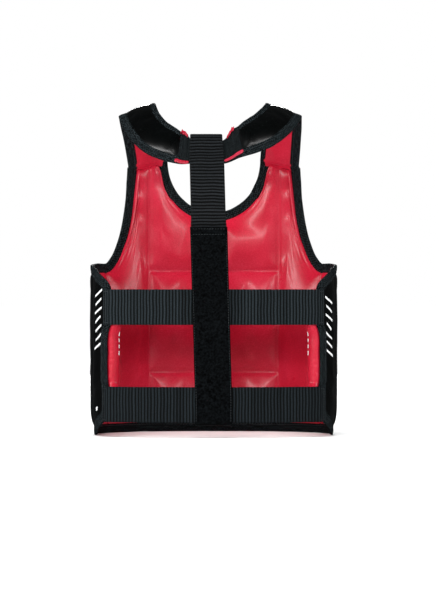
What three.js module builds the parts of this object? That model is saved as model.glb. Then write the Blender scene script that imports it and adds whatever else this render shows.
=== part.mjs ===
// Chest protector for contact sports: a foam-filled, leather-covered shell that wraps the chest and both
// sides of the torso, a padded collar over the shoulders, and a back harness of ribbed elastic.
// Millimetres, +Z up. The chest faces -Y, the wearer's left side is +X, and the hem stands at Z = 0.
import * as THREE from "three";

// ---------- driving dimensions ----------

const TORSO_HALF_WIDTH = 154.5; // inside of the shell, side to side
const TORSO_POWER = 2.3; // the cross-section is a superellipse, a little squarer than an ellipse
const FRONT_DEPTH = [[0, 109], [120, 109], [230, 114], [300, 112], [350, 106], [400, 97]]; // [height, depth]
const BACK_DEPTH = 112; // centre line to the inside of the back harness

const PANEL_THICKNESS = 24; // liner, foam and cover together
const LINER_THICKNESS = 5;
const COVER_THICKNESS = 2.4;
const LAYER_GAP = 0.9; // between curved, faceted layers that lie on each other
const END_GAP = 0.5; // between pieces that meet edge to edge
const REAR_GAP = 2; // between a side cover and its rear binding, whose edge bends twice
const BORDER_WIDTH = 14; // bound flat edge all round the padding
const BORDER_DEPTH = [12, 17]; // the bound edge's inner and outer face, from the torso
const REAR_BORDER_DEPTH = [18.6, 22]; // at the rear edges it lies over the red edge roll
const PATTERN_DEPTH = 15; // the depth at which the flat pattern's lengths are measured

const SEAM_S = 181; // flat pattern: half width of the front panel, where the side panels are hinged
const REAR_S = 316; // flat pattern: the side panels' rear edges
const UPPER_PULL = 9; // each band pulls the rear edges this much nearer to the spine
const LOWER_PULL = 6;
const REAR_CORNER_RISE = 20; // the hem rises this much towards the rear corners
const WING_TOP = 246; // height of the side panels' top edge at the seam
const WING_TOP_REAR = 207; // and at the rear corner, level with the upper band
const NECK_HALF_WIDTH = 69; // neckline at the shoulder seams
const NECK_TOP = 398;
const NECK_SCOOP = 76; // how far the neckline dips at the centre
const SHOULDER_OUTER_S = 134; // outer end of a shoulder seam
const SHOULDER_OUTER_TOP = 386;

const BAND_WIDTH = 50; // ribbed elastic, all three straps
const BAND_THICKNESS = 2.4;
const LOWER_BAND_Z = [21, 71];
const UPPER_BAND_Z = [158, 208];
const BAND_OVERLAP = 12.5; // how far the bands' ends reach over the side panels' rear borders
const BAND_THIRDS_Y = [99, 107.5]; // the bands' inner face at two and one third of the way out from the spine
const TAIL_TOP = 295; // upper end of the hook-and-loop tail
const STRAP_TOP_HALF_WIDTH = 22.3; // the stretched strap is narrower at the collar
const TAPE_THICKNESS = 1.2; // hook tape and loop tape
const TAIL_THICKNESS = 1.8;

// The collar's bound edges, from the front seam over the shoulder to the centre of the back, wearer's left.
const COLLAR_INNER = [
  [68, -103, 399.5], [70.5, -82, 430], [75, -48, 459], [78.5, -10, 473.5], [78, 22, 471.5], [71.5, 51, 460.5],
  [60, 72, 448.5], [49, 85, 440.5], [38, 93, 431.5], [23, 100.5, 417], [0, 101, 415.5],
];
const COLLAR_OUTER = [
  [124.5, -80, 387.5], [127.5, -56, 418], [130.5, -24, 443.5], [131, 8, 455], [125.5, 36, 443],
  [114, 62, 426], [93, 90, 406.5], [68, 106.5, 395], [44, 113.5, 388.5], [23, 116.6, 384.5], [0, 117, 383],
];
const COLLAR_PAD_END = 0.79; // share of the collar's run that is padded, before the flat tab
const COLLAR_BORDER = { neck: 0.14, arm: 0.22 }; // share of the collar's width taken by each bound edge
const COLLAR_DEPTHS = { liner: [-7.4, -5.6], foam: [-4.6, 4], cover: [5, 6.8], border: [-2.2, 2.2] };
const TAB_DEPTH = [-1.4, 1.4];

// The soft parts lie as worn: the strap leans towards the wearer's left, and the collar settles with it.
const SPINE_LEAN = 0.028; // sideways per millimetre of height
const SPINE_LEAN_START = 53; // height
const COLLAR_SHIFT = 5; // at the back
const COLLAR_SAG = 0.14; // slope of the sag between the tab and the pads

// ---------- the torso, and the flat pattern wrapped on it ----------

const smooth = (t) => {
  const c = Math.min(Math.max(t, 0), 1);
  return c * c * (3 - 2 * c);
};
const mix = (a, b, t) => a + (b - a) * t;

// Value at x of a smooth curve through [x, value] points.
function along(points, x) {
  const i = Math.min(Math.max(points.findIndex((p) => p[0] > x), 1), points.length - 1);
  const [a, b] = [points[i - 1], points[i]];
  const slope = (k) => {
    const [p, q] = [points[Math.max(k - 1, 0)], points[Math.min(k + 1, points.length - 1)]];
    return (q[1] - p[1]) / (q[0] - p[0]);
  };
  const w = b[0] - a[0];
  const t = Math.min(Math.max((x - a[0]) / w, 0), 1);
  return (
    a[1] * (1 + 2 * t) * (1 - t) ** 2 +
    b[1] * t * t * (3 - 2 * t) +
    w * slope(i - 1) * t * (1 - t) ** 2 -
    w * slope(i) * t * t * (1 - t)
  );
}

// Point on the torso at an angle from the chest's centre line (degrees, positive to the wearer's left).
function torso(angle, z, depth) {
  const a = THREE.MathUtils.degToRad(angle);
  const back = Math.cos(a) < 0;
  const b = back ? BACK_DEPTH : along(FRONT_DEPTH, z);
  const u = Math.sign(Math.sin(a)) * Math.abs(Math.sin(a)) ** (2 / TORSO_POWER);
  const v = -Math.sign(Math.cos(a)) * Math.abs(Math.cos(a)) ** (2 / TORSO_POWER);
  const nx = (Math.sign(u) * Math.abs(u) ** (TORSO_POWER - 1)) / TORSO_HALF_WIDTH;
  const ny = (Math.sign(v) * Math.abs(v) ** (TORSO_POWER - 1)) / b;
  const n = Math.hypot(nx, ny);
  return new THREE.Vector3(TORSO_HALF_WIDTH * u + (depth * nx) / n, b * v + (depth * ny) / n, z);
}

// Length of the pattern from the centre line to each whole degree, at the waist.
const ARC = [0];
for (let degree = 1; degree <= 150; degree++) {
  const step = torso(degree, 0, PATTERN_DEPTH).distanceTo(torso(degree - 1, 0, PATTERN_DEPTH));
  ARC.push(ARC[degree - 1] + step);
}

function angleAt(s) {
  const length = Math.abs(s);
  const i = Math.max(ARC.findIndex((x) => x > length), 1);
  return Math.sign(s) * (i - 1 + (length - ARC[i - 1]) / (ARC[i] - ARC[i - 1]));
}

const onTorso = (s, z, depth) => torso(angleAt(s), z, depth);

// ---------- outlines on the flat pattern: s across, z up ----------

const hemZ = (s) => REAR_CORNER_RISE * smooth((Math.abs(s) - 245) / 80);
const rearS = (z) => REAR_S + UPPER_PULL * smooth((z - 142) / 22) + LOWER_PULL * smooth((78 - z) / 14);
// A quarter ellipse, which turns down into the rear edge.
const wingTopZ = (s) => {
  const share = Math.min(Math.max((s - SEAM_S) / (REAR_S + UPPER_PULL - SEAM_S), 0), 1);
  return WING_TOP_REAR + (WING_TOP - WING_TOP_REAR) * Math.sqrt(1 - share ** 2);
};

// Quarter ellipses: the neckline from the centre to the shoulder seam, and the armhole from there to the
// side seam.
const neckPoint = (t, inset) => {
  const a = (t * Math.PI) / 2;
  return [(NECK_HALF_WIDTH + inset) * Math.sin(a), NECK_TOP - (NECK_SCOOP + inset) * Math.cos(a)];
};
const armholePoint = (t, inset) => {
  const a = (t * Math.PI) / 2;
  const halfWidth = SEAM_S - SHOULDER_OUTER_S + inset;
  const height = SHOULDER_OUTER_TOP - WING_TOP + inset;
  return [SEAM_S - halfWidth * Math.cos(a), SHOULDER_OUTER_TOP - height * Math.sin(a)];
};

// Height of the front panel's top edge, set in from the outline by a border's width.
function frontTopZ(s, inset) {
  const x = Math.abs(s);
  const neckEnd = NECK_HALF_WIDTH + inset;
  const armStart = SHOULDER_OUTER_S - inset;
  if (x < neckEnd) return NECK_TOP - (NECK_SCOOP + inset) * Math.sqrt(1 - (x / neckEnd) ** 2);
  if (x < armStart) return mix(NECK_TOP, SHOULDER_OUTER_TOP, (x - neckEnd) / (armStart - neckEnd));
  const halfWidth = SEAM_S - armStart;
  const height = SHOULDER_OUTER_TOP - WING_TOP + inset;
  return SHOULDER_OUTER_TOP - height * Math.sqrt(1 - Math.min((SEAM_S - x) / halfWidth, 1) ** 2);
}

// ---------- materials ----------

const finish = (color, roughness) => new THREE.MeshStandardMaterial({ color, roughness, metalness: 0 });
const blackLeather = finish(0x101416, 0.35);
const redLeather = finish(0xc8182e, 0.38);
const bindingTape = finish(0x1a2023, 0.7);
const elastic = finish(0x20272a, 0.75);
const hookTape = finish(0x0c0f10, 0.9);
const loopTape = finish(0x0e1112, 0.95);
const foam = finish(0xb9b6ad, 0.9);

// ---------- building solids ----------

const protector = new THREE.Group();

// A closed six-sided solid whose sides follow point(u, v, k): u and v run over two opposite faces, and k is
// 0 or 1.
function block(name, material, columns, rows, point) {
  const positions = [];
  const index = [];
  const perLayer = (columns + 1) * (rows + 1);
  for (const k of [0, 1])
    for (let i = 0; i <= columns; i++)
      for (let j = 0; j <= rows; j++) positions.push(...point(i / columns, j / rows, k).toArray());
  const at = (i, j, k) => k * perLayer + i * (rows + 1) + j;
  const quad = (a, b, c, d) => index.push(a, b, c, a, c, d);
  for (let i = 0; i < columns; i++)
    for (let j = 0; j < rows; j++) {
      quad(at(i, j, 1), at(i + 1, j, 1), at(i + 1, j + 1, 1), at(i, j + 1, 1));
      quad(at(i, j, 0), at(i, j + 1, 0), at(i + 1, j + 1, 0), at(i + 1, j, 0));
    }
  for (let i = 0; i < columns; i++) {
    quad(at(i, 0, 0), at(i + 1, 0, 0), at(i + 1, 0, 1), at(i, 0, 1));
    quad(at(i, rows, 0), at(i, rows, 1), at(i + 1, rows, 1), at(i + 1, rows, 0));
  }
  for (let j = 0; j < rows; j++) {
    quad(at(0, j, 0), at(0, j, 1), at(0, j + 1, 1), at(0, j + 1, 0));
    quad(at(columns, j, 0), at(columns, j + 1, 0), at(columns, j + 1, 1), at(columns, j, 1));
  }
  if (signedVolume(positions, index) < 0)
    for (let i = 0; i < index.length; i += 3) [index[i + 1], index[i + 2]] = [index[i + 2], index[i + 1]];
  const geometry = new THREE.BufferGeometry();
  geometry.setAttribute("position", new THREE.Float32BufferAttribute(positions, 3));
  geometry.setIndex(index);
  geometry.computeVertexNormals();
  const mesh = new THREE.Mesh(geometry, material);
  mesh.name = name;
  protector.add(mesh);
  return mesh;
}

function signedVolume(positions, index) {
  const corner = (i) => new THREE.Vector3().fromArray(positions, 3 * index[i]);
  let sum = 0;
  for (let i = 0; i < index.length; i += 3) sum += corner(i).dot(corner(i + 1).cross(corner(i + 2)));
  return sum / 6;
}

// A layer of the shell: s and z run between functions of u and v, and depth between two values.
function layer(name, material, columns, rows, sAndZ, depths) {
  return block(name, material, columns, rows, (u, v, k) => {
    const [s, z] = sAndZ(u, v);
    return onTorso(s, z, typeof depths === "function" ? depths(u, v, k) : depths[k]);
  });
}

const LINER_DEPTH = [0, LINER_THICKNESS];
const FOAM_DEPTH = [LINER_THICKNESS + LAYER_GAP, PANEL_THICKNESS - COVER_THICKNESS - LAYER_GAP];
const COVER_DEPTH = [PANEL_THICKNESS - COVER_THICKNESS, PANEL_THICKNESS];

// A foam slab in its sewn pocket. Its outer face is smaller than its inner one, so that the cover can round
// over it.
const FOAM_CHAMFER = 6;
function foamSlab(name, sign, columns, rows, sRange, bottom, top) {
  return block(name, foam, columns, rows, (u, v, k) => {
    const inset = k * FOAM_CHAMFER;
    const s = mix(sRange[0] + inset, sRange[1] - inset, u);
    const z = mix(bottom(s) + inset, top(s) - inset, v);
    return onTorso(sign * s, z, FOAM_DEPTH[k]);
  });
}

// ---------- front panel ----------

const FRONT_COLUMNS = 26;
const FRONT_ROWS = 9;
const FRONT_EDGE = SEAM_S - END_GAP / 2;
const frontRegion = (u, v) => {
  const s = mix(-FRONT_EDGE, FRONT_EDGE, u);
  const inset = BORDER_WIDTH + END_GAP;
  return [s, mix(inset, frontTopZ(s, inset), v)];
};

function frontPanel() {
  layer("front_cover", blackLeather, FRONT_COLUMNS, FRONT_ROWS, frontRegion, COVER_DEPTH);
  layer("front_liner", redLeather, FRONT_COLUMNS, FRONT_ROWS, frontRegion, LINER_DEPTH);

  const hemStrip = (u, v) => [mix(-FRONT_EDGE, FRONT_EDGE, u), BORDER_WIDTH * v];
  layer("front_hem_binding", bindingTape, FRONT_COLUMNS, 1, hemStrip, BORDER_DEPTH);

  const neckStrip = (u, v) => {
    const side = Math.sign(u - 0.5) || 1;
    const [s, z] = neckPoint(Math.abs(2 * u - 1), mix(0, BORDER_WIDTH, v));
    return [side * s, z];
  };
  layer("neck_binding", bindingTape, 20, 1, neckStrip, BORDER_DEPTH);

  for (const [side, sign] of [["left", 1], ["right", -1]]) {
    const armStrip = (u, v) => {
      const [s, z] = armholePoint(u, mix(0, BORDER_WIDTH, v));
      return [sign * (s - END_GAP / 2), z];
    };
    layer(`front_armhole_binding_${side}`, bindingTape, 10, 1, armStrip, BORDER_DEPTH);
  }
}

// Sewn channels divide the padding: four rows across the chest and belly, and one tall pocket on each flank.
const ROW_LINES = [BORDER_WIDTH, 88, 162, 236, 308];
const FLANK_S = 100;
const POCKET_MARGIN = 7;

function frontFoam() {
  const names = ["foam_belly_lower", "foam_belly_upper", "foam_chest_lower", "foam_chest_upper"];
  names.forEach((name, i) => {
    const edge = FLANK_S - POCKET_MARGIN;
    const bottom = () => ROW_LINES[i] + POCKET_MARGIN;
    const top = () => ROW_LINES[i + 1] - POCKET_MARGIN;
    foamSlab(name, 1, 14, 2, [-edge, edge], bottom, top);
  });
  for (const [side, sign] of [["left", 1], ["right", -1]]) {
    const bottom = () => BORDER_WIDTH + POCKET_MARGIN;
    const top = (s) => frontTopZ(s, BORDER_WIDTH + 2 * POCKET_MARGIN) - POCKET_MARGIN;
    const pocket = [FLANK_S + POCKET_MARGIN, SEAM_S - POCKET_MARGIN];
    foamSlab(`foam_flank_${side}`, sign, 6, 7, pocket, bottom, top);
  }
}

// ---------- side panels ----------

const WING_COLUMNS = 10;
const WING_ROWS = 8;
const WING_START = SEAM_S + END_GAP / 2;
const WING_CHANNEL_S = 258; // the sewn channel between a side panel's two foam slabs

// Point of a side panel's pattern: u from the seam to the rear edge, v from hem to top edge, set in by
// borders.
function wingRegion(u, v, inset) {
  const nominal = mix(WING_START, REAR_S, u);
  const z = mix(hemZ(nominal) + inset, wingTopZ(nominal) - inset, v);
  return [mix(WING_START, rearS(z) - BORDER_WIDTH - REAR_GAP, u), z];
}

function sidePanel(side, sign) {
  const inset = BORDER_WIDTH + END_GAP;
  const body = (u, v) => {
    const [s, z] = wingRegion(u, v, inset);
    return [sign * s, z];
  };
  layer(`side_cover_${side}`, blackLeather, WING_COLUMNS, WING_ROWS, body, COVER_DEPTH);
  layer(`side_liner_${side}`, redLeather, WING_COLUMNS, WING_ROWS, body, LINER_DEPTH);

  const hem = (u, v) => {
    const s = mix(WING_START, rearS(0) - inset, u);
    return [sign * s, hemZ(s) + v * BORDER_WIDTH];
  };
  layer(`side_hem_binding_${side}`, bindingTape, WING_COLUMNS, 1, hem, BORDER_DEPTH);

  const armhole = (u, v) => {
    const s = mix(WING_START, rearS(WING_TOP_REAR) - inset, u);
    return [sign * s, wingTopZ(s) - v * BORDER_WIDTH];
  };
  layer(`side_armhole_binding_${side}`, bindingTape, WING_COLUMNS, 1, armhole, BORDER_DEPTH);

  const rear = (u, v) => {
    const z = mix(REAR_CORNER_RISE, wingTopZ(rearS(WING_TOP_REAR) - BORDER_WIDTH * (1 - u)), v);
    return [sign * (rearS(z) - BORDER_WIDTH * (1 - u)), z];
  };
  layer(`rear_binding_${side}`, bindingTape, 3, 14, rear, REAR_BORDER_DEPTH);

  const bottom = (s) => hemZ(s) + BORDER_WIDTH + POCKET_MARGIN;
  const top = (s) => wingTopZ(s) - BORDER_WIDTH - POCKET_MARGIN;
  const frontPocket = [WING_START + POCKET_MARGIN, WING_CHANNEL_S - POCKET_MARGIN];
  const rearPocket = [WING_CHANNEL_S + POCKET_MARGIN, REAR_S - BORDER_WIDTH - POCKET_MARGIN];
  foamSlab(`foam_side_front_${side}`, sign, 6, 5, frontPocket, bottom, top);
  foamSlab(`foam_side_rear_${side}`, sign, 4, 5, rearPocket, bottom, top);
}

// The red padded roll along a rear edge, thick between the bands and pressed thin under them.
const ROLL_DEPTH = [0.4, 17.8];
const ROLL_PRESSED_DEPTH = [5, 17.8];
const ROLL_SIDES = 10;
function edgeRoll(side, sign) {
  const pressed = (z) => Math.max(smooth((z - 150) / 14), smooth((80 - z) / 12));
  const rings = 14;
  block(`edge_roll_${side}`, redLeather, rings, ROLL_SIDES / 2, (u, v, k) => {
    const z = mix(REAR_CORNER_RISE + 6, WING_TOP_REAR - 4, u);
    const inner = mix(ROLL_DEPTH[0], ROLL_PRESSED_DEPTH[0], pressed(z));
    const halfDepth = (ROLL_DEPTH[1] - inner) / 2;
    const halfWidth = mix(9, 7, pressed(z));
    const turn = v * 0.94 + 0.03; // the two faces meet in a narrow edge at each side
    const a = (k ? -1 : 1) * turn * Math.PI;
    const s = rearS(z) + halfWidth * Math.cos(a);
    return onTorso(sign * s, z, inner + halfDepth * (1 + Math.sin(a)));
  });
}

// ---------- back harness ----------

// A band: it follows the side panels' rear borders, then crosses the back, and is lifted by a hump over the
// strap.
function band(name, zRange, centreY, hump) {
  const middleZ = (zRange[0] + zRange[1]) / 2;
  const onBorder = (back) => onTorso(rearS(middleZ) - back, middleZ, REAR_BORDER_DEPTH[1] + LAYER_GAP);
  const half = [
    ...[BAND_OVERLAP, BAND_OVERLAP / 2, 0.5].map(onBorder),
    new THREE.Vector3(100, BAND_THIRDS_Y[0], middleZ),
    new THREE.Vector3(50, BAND_THIRDS_Y[1], middleZ),
  ];
  const mirrored = half.map((p) => new THREE.Vector3(-p.x, p.y, p.z)).reverse();
  const path = new THREE.CatmullRomCurve3([...half, new THREE.Vector3(0, centreY, middleZ), ...mirrored]);
  block(name, elastic, 44, 1, (u, v, k) => {
    const p = path.getPointAt(u);
    const t = path.getTangentAt(u);
    p.y += hump * smooth((40 - Math.abs(p.x)) / 12);
    return p.addScaledVector(new THREE.Vector3(t.y, -t.x, 0), k * BAND_THICKNESS).setZ(mix(...zRange, v));
  });
}

// A strap that runs up or down the spine: a path in the YZ plane, with a width in X and a thickness.
function spinalTape(name, material, path, steps, thickness, halfWidth) {
  const curve = new THREE.CatmullRomCurve3(path.map(([y, z]) => new THREE.Vector3(0, y, z)));
  return block(name, material, steps, 1, (u, v, k) => {
    const p = curve.getPointAt(u);
    const t = curve.getTangentAt(u);
    const outward = new THREE.Vector3(0, -t.z, t.y);
    const half = halfWidth(p.z);
    const lean = SPINE_LEAN * Math.max(p.z - SPINE_LEAN_START, 0);
    return p.addScaledVector(outward, (k - 0.5) * thickness).setX(lean + mix(-half, half, v));
  });
}

const UPPER_BAND_Y = 112;
const LOWER_BAND_Y = 111;
const STRAP_UNDER_BAND = 3.2; // the strap lies between the torso and the lower band, and lifts it this much
const strapHalfWidth = (z) => mix(BAND_WIDTH / 2, STRAP_TOP_HALF_WIDTH, smooth((z - 300) / 130));

// From behind the collar's tabs, over their top edge, down the spine, and round the lower band's lower edge.
const STRAP_PATH = [
  [111, 384.4], [103.2, 401.6], [96.6, 415.8], [95.7, 422], [99.6, 424.9], [104.2, 422], [112.6, 403.4],
  [120.9, 382], [127, 345], [129.5, 300], [126, 250], [119.5, 212], [116.6, 184], [115.6, 158],
  [113.8, 120], [112, 85], [111.6, 50], [111.6, 24], [112.4, 17.2], [115.2, 14.8], [117.8, 17.2],
  [118.4, 21], [118.4, 24.6],
];
// The tail lies over the lower band, the upper band and the strap.
const TAIL_PATH = [
  [118.4, 25.4], [118.5, 60], [119.2, 90], [120.8, 125], [122, 158], [123, 184], [126, 212], [132, 250],
  [134.8, 285], [135, TAIL_TOP],
];
const TAPE_PATHS = {
  // on the strap's outer face, and on the tail's inner face
  loop: [[117.9, 154], [118.9, 184], [121.8, 212], [128, 250], [131.2, 287]],
  hook: [[120.2, 156], [121.2, 184], [124.1, 212], [130.1, 250], [133, 285]],
};

function backHarness() {
  band("upper_band", UPPER_BAND_Z, UPPER_BAND_Y, 0);
  band("lower_band", LOWER_BAND_Z, LOWER_BAND_Y, STRAP_UNDER_BAND);
  spinalTape("spine_strap", elastic, STRAP_PATH, 72, BAND_THICKNESS, strapHalfWidth);
  const tapeHalfWidth = () => BAND_WIDTH / 2 - 2;
  spinalTape("loop_tape", loopTape, TAPE_PATHS.loop, 12, TAPE_THICKNESS, tapeHalfWidth);
  spinalTape("hook_tape", hookTape, TAPE_PATHS.hook, 12, TAPE_THICKNESS, tapeHalfWidth);
  spinalTape("closure_tail", hookTape, TAIL_PATH, 24, TAIL_THICKNESS, () => BAND_WIDTH / 2 + 1);
}

// ---------- collar ----------

const edgeCurve = (points) => new THREE.CatmullRomCurve3(points.map((p) => new THREE.Vector3(...p)));
const innerEdge = edgeCurve(COLLAR_INNER);
const outerEdge = edgeCurve(COLLAR_OUTER);

// The back of the collar, moved with the strap: its left pad sags and its right pad rises.
function asWorn(p) {
  const sag = (COLLAR_SAG * p.x * smooth((Math.abs(p.x) - 18) / 26)) / (1 + (p.x / 80) ** 2);
  p.z -= sag * smooth(p.y / 90);
  p.x += COLLAR_SHIFT * smooth((p.y + 100) / 110);
  return p;
}

// Point of the collar: t along it, w from the neck edge to the shoulder edge, depth outwards from its middle.
function collarPoint(t, w, depth, sign) {
  const inner = innerEdge.getPoint(t);
  const outer = outerEdge.getPoint(t);
  const run = innerEdge.getTangent(t).add(outerEdge.getTangent(t));
  const normal = outer.clone().sub(inner).cross(run).normalize();
  if (normal.y < 0 && t > 0.5) normal.negate();
  if (normal.z < 0 && t <= 0.5) normal.negate();
  const p = inner.lerp(outer, w).addScaledVector(normal, depth);
  return asWorn(p.setX(sign * p.x));
}

function collarStrip(name, material, columns, rows, tRange, wRange, depths, sign) {
  return block(name, material, columns, rows, (u, v, k) =>
    collarPoint(mix(...tRange, u), mix(...wRange, v), depths[k], sign),
  );
}

function collar() {
  const gap = 0.012;
  const pad = [0.004, COLLAR_PAD_END];
  const middle = [COLLAR_BORDER.neck + gap, 1 - COLLAR_BORDER.arm - gap];
  for (const [side, sign] of [["left", 1], ["right", -1]]) {
    const strip = (name, material, rows, ts, ws, depths) =>
      collarStrip(`${name}_${side}`, material, 20, rows, ts, ws, depths, sign);
    strip("shoulder_cover", blackLeather, 2, pad, middle, COLLAR_DEPTHS.cover);
    strip("shoulder_foam", foam, 2, [pad[0] + 2 * gap, pad[1] - gap], middle, COLLAR_DEPTHS.foam);
    strip("shoulder_liner", redLeather, 2, [pad[0] + 2 * gap, pad[1]], middle, COLLAR_DEPTHS.liner);
    strip("neck_side_binding", bindingTape, 1, pad, [0, COLLAR_BORDER.neck], COLLAR_DEPTHS.border);
    strip("arm_side_binding", bindingTape, 1, pad, [1 - COLLAR_BORDER.arm, 1], COLLAR_DEPTHS.border);

    const shown = [COLLAR_PAD_END + 0.005, 0.862];
    collarStrip(`tab_piping_upper_${side}`, redLeather, 4, 1, shown, [0.03, 0.1], [1.9, 4.9], sign);
    collarStrip(`tab_piping_lower_${side}`, redLeather, 4, 1, shown, [0.88, 0.95], [1.9, 4.9], sign);
  }
  block("collar_tab", bindingTape, 16, 2, (u, v, k) => {
    const t = mix(COLLAR_PAD_END + 0.005, 1, 1 - Math.abs(2 * u - 1));
    return collarPoint(t, v, TAB_DEPTH[k], u < 0.5 ? -1 : 1);
  });
}

// ---------- assembly ----------

frontPanel();
frontFoam();
for (const [side, sign] of [["left", 1], ["right", -1]]) {
  sidePanel(side, sign);
  edgeRoll(side, sign);
}
backHarness();
collar();

// The frame's origin is under the middle of the protector, on the surface that the hem stands on.
const extent = new THREE.Box3().setFromObject(protector);
const middle = extent.getCenter(new THREE.Vector3());
protector.position.set(-middle.x, -middle.y, -extent.min.z);

export default protector;
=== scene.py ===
"""Looks of the chest protector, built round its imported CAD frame.

Every length in this file is in millimetres until a mesh is made; the wearer's left is +X, the chest faces -Y.
"""

import math

import bpy
import numpy as np
from mathutils import Matrix, Vector
from mathutils.bvhtree import BVHTree


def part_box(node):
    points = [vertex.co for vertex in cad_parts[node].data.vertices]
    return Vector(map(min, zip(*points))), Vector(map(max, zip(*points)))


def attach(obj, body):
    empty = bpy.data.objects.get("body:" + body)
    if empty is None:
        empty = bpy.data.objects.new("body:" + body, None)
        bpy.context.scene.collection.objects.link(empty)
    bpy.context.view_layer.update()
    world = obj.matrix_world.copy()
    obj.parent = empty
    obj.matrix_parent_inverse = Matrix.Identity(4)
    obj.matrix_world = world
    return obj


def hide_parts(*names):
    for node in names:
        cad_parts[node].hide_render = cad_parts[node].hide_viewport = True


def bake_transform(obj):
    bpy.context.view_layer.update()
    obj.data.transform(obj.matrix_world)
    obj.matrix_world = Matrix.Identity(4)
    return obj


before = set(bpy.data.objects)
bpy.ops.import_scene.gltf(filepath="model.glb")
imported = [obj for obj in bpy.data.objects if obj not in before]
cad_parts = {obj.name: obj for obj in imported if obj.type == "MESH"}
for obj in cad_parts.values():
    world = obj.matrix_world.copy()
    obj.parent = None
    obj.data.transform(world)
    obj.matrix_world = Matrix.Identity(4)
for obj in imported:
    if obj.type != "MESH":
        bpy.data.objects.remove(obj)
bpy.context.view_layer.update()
MM = 0.001
SIDES = (("left", 1), ("right", -1))

# ---------- camera, light and floor ----------

MM_PER_PIXEL = 1.4  # at the back harness
CAMERA_DISTANCE = 4500
HARNESS_Y = 112
IMAGE_HEIGHT = 600
AIM_X, AIM_Z = -8.3, 193.0


def add_camera():
    data = bpy.data.cameras.new("camera")
    data.sensor_fit = "VERTICAL"
    data.sensor_height = 36
    data.lens = 36 * CAMERA_DISTANCE / (IMAGE_HEIGHT * MM_PER_PIXEL)
    data.clip_end = 100
    camera = bpy.data.objects.new("camera", data)
    bpy.context.scene.collection.objects.link(camera)
    place = Matrix.Translation(Vector((AIM_X, HARNESS_Y + CAMERA_DISTANCE, AIM_Z)) * MM)
    turn = Matrix.Rotation(math.pi, 4, "Z") @ Matrix.Rotation(math.pi / 2, 4, "X")
    camera.matrix_world = place @ turn
    bpy.context.scene.camera = camera


def add_light(name, kind, at, power, **settings):
    """A light aimed at the middle of the protector; lights are never in the picture themselves."""
    data = bpy.data.lights.new(name, kind)
    data.energy = power
    for key, value in settings.items():
        setattr(data, key, value)
    light = bpy.data.objects.new(name, data)
    bpy.context.scene.collection.objects.link(light)
    light.location = at
    light.rotation_euler = (Vector((0, 0, 0.25)) - Vector(at)).to_track_quat("-Z", "Y").to_euler()
    light.visible_camera = False
    return light


def add_studio():
    """Softboxes and a wide, soft sun; the world is white to the camera and dim in reflections."""
    add_light("key", "AREA", (2.2, 1.75, 0.75), 56, shape="RECTANGLE", size=3.6, size_y=0.16)
    add_light("fill", "AREA", (-2.2, 1.75, 0.75), 38, shape="RECTANGLE", size=3.6, size_y=0.16)
    add_light("back", "AREA", (0.5, 4.2, 1.1), 30, size=0.6)
    add_light("front", "AREA", (0, -3.6, 0.9), 84, size=0.7)
    sun = add_light("sun", "SUN", (0.2, 0.35, 2.25), 3.5, angle=math.radians(50))
    sun.visible_glossy = False
    world = bpy.data.worlds.new("studio")
    bpy.context.scene.world = world
    world.use_nodes = True
    tree = world.node_tree
    dim = tree.nodes["Background"]
    dim.inputs["Color"].default_value = (0.93, 0.97, 1, 1)
    dim.inputs["Strength"].default_value = 0.035
    white = tree.nodes.new("ShaderNodeBackground")
    white.inputs["Color"].default_value = (1, 1, 1, 1)
    blend = tree.nodes.new("ShaderNodeMixShader")
    tree.links.new(tree.nodes.new("ShaderNodeLightPath").outputs["Is Camera Ray"], blend.inputs[0])
    tree.links.new(dim.outputs[0], blend.inputs[1])
    tree.links.new(white.outputs[0], blend.inputs[2])
    tree.links.new(blend.outputs[0], tree.nodes["World Output"].inputs[0])
    bpy.context.scene.view_settings.view_transform = "Standard"


# ---------- the torso form, as in the CAD ----------

TORSO_HALF_WIDTH = 154.5
TORSO_POWER = 2.3
FRONT_DEPTH = np.array([[0, 109], [120, 109], [230, 114], [300, 112], [350, 106], [400, 97]], float)
BACK_DEPTH = 112
BORDER = 14
BORDER_DEPTH = (12, 17)
REAR_BORDER_DEPTH = (18.6, 22)
PATTERN_DEPTH = 15
SEAM_S = 181
REAR_S = 316
UPPER_PULL, LOWER_PULL = 9, 6
REAR_CORNER_RISE = 20
WING_TOP, WING_TOP_REAR = 246, 207
NECK_HALF_WIDTH, NECK_TOP, NECK_SCOOP = 69, 398, 76
SHOULDER_OUTER_S, SHOULDER_OUTER_TOP = 134, 386
ORIGIN_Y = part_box("front_hem_binding")[0].y / MM + FRONT_DEPTH[0, 1] + BORDER_DEPTH[1]


def smooth(t):
    t = np.clip(t, 0, 1)
    return t * t * (3 - 2 * t)


def mix(a, b, t):
    return a + (b - a) * t


def unit(v):
    return v / np.maximum(np.linalg.norm(v, axis=-1, keepdims=True), 1e-9)


def lengths(points):
    """Distances along a row of points, from its first one."""
    return np.concatenate([[0], np.cumsum(np.linalg.norm(np.diff(points, axis=0), axis=1))])


def between(x, places, rows):
    """Rows of numbers that stand at these places, interpolated at x."""
    return np.stack([np.interp(x, places, column) for column in rows.T], -1)


def pairs(a, b):
    """Grid of (a, b) from a column of a and a row of b."""
    return np.stack(np.broadcast_arrays(a[:, None], b), -1)


def front_depth(z):
    """A smooth curve through FRONT_DEPTH."""
    x, y = FRONT_DEPTH.T
    last = len(x) - 1
    ends = [(max(k - 1, 0), min(k + 1, last)) for k in range(len(x))]
    slopes = np.array([(y[b] - y[a]) / (x[b] - x[a]) for a, b in ends])
    i = np.clip(np.searchsorted(x, z, side="right") - 1, 0, last - 1)
    w = x[i + 1] - x[i]
    t = np.clip((z - x[i]) / w, 0, 1)
    return (
        y[i] * (1 + 2 * t) * (1 - t) ** 2
        + y[i + 1] * t * t * (3 - 2 * t)
        + w * slopes[i] * t * (1 - t) ** 2
        - w * slopes[i + 1] * t * t * (1 - t)
    )


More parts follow.
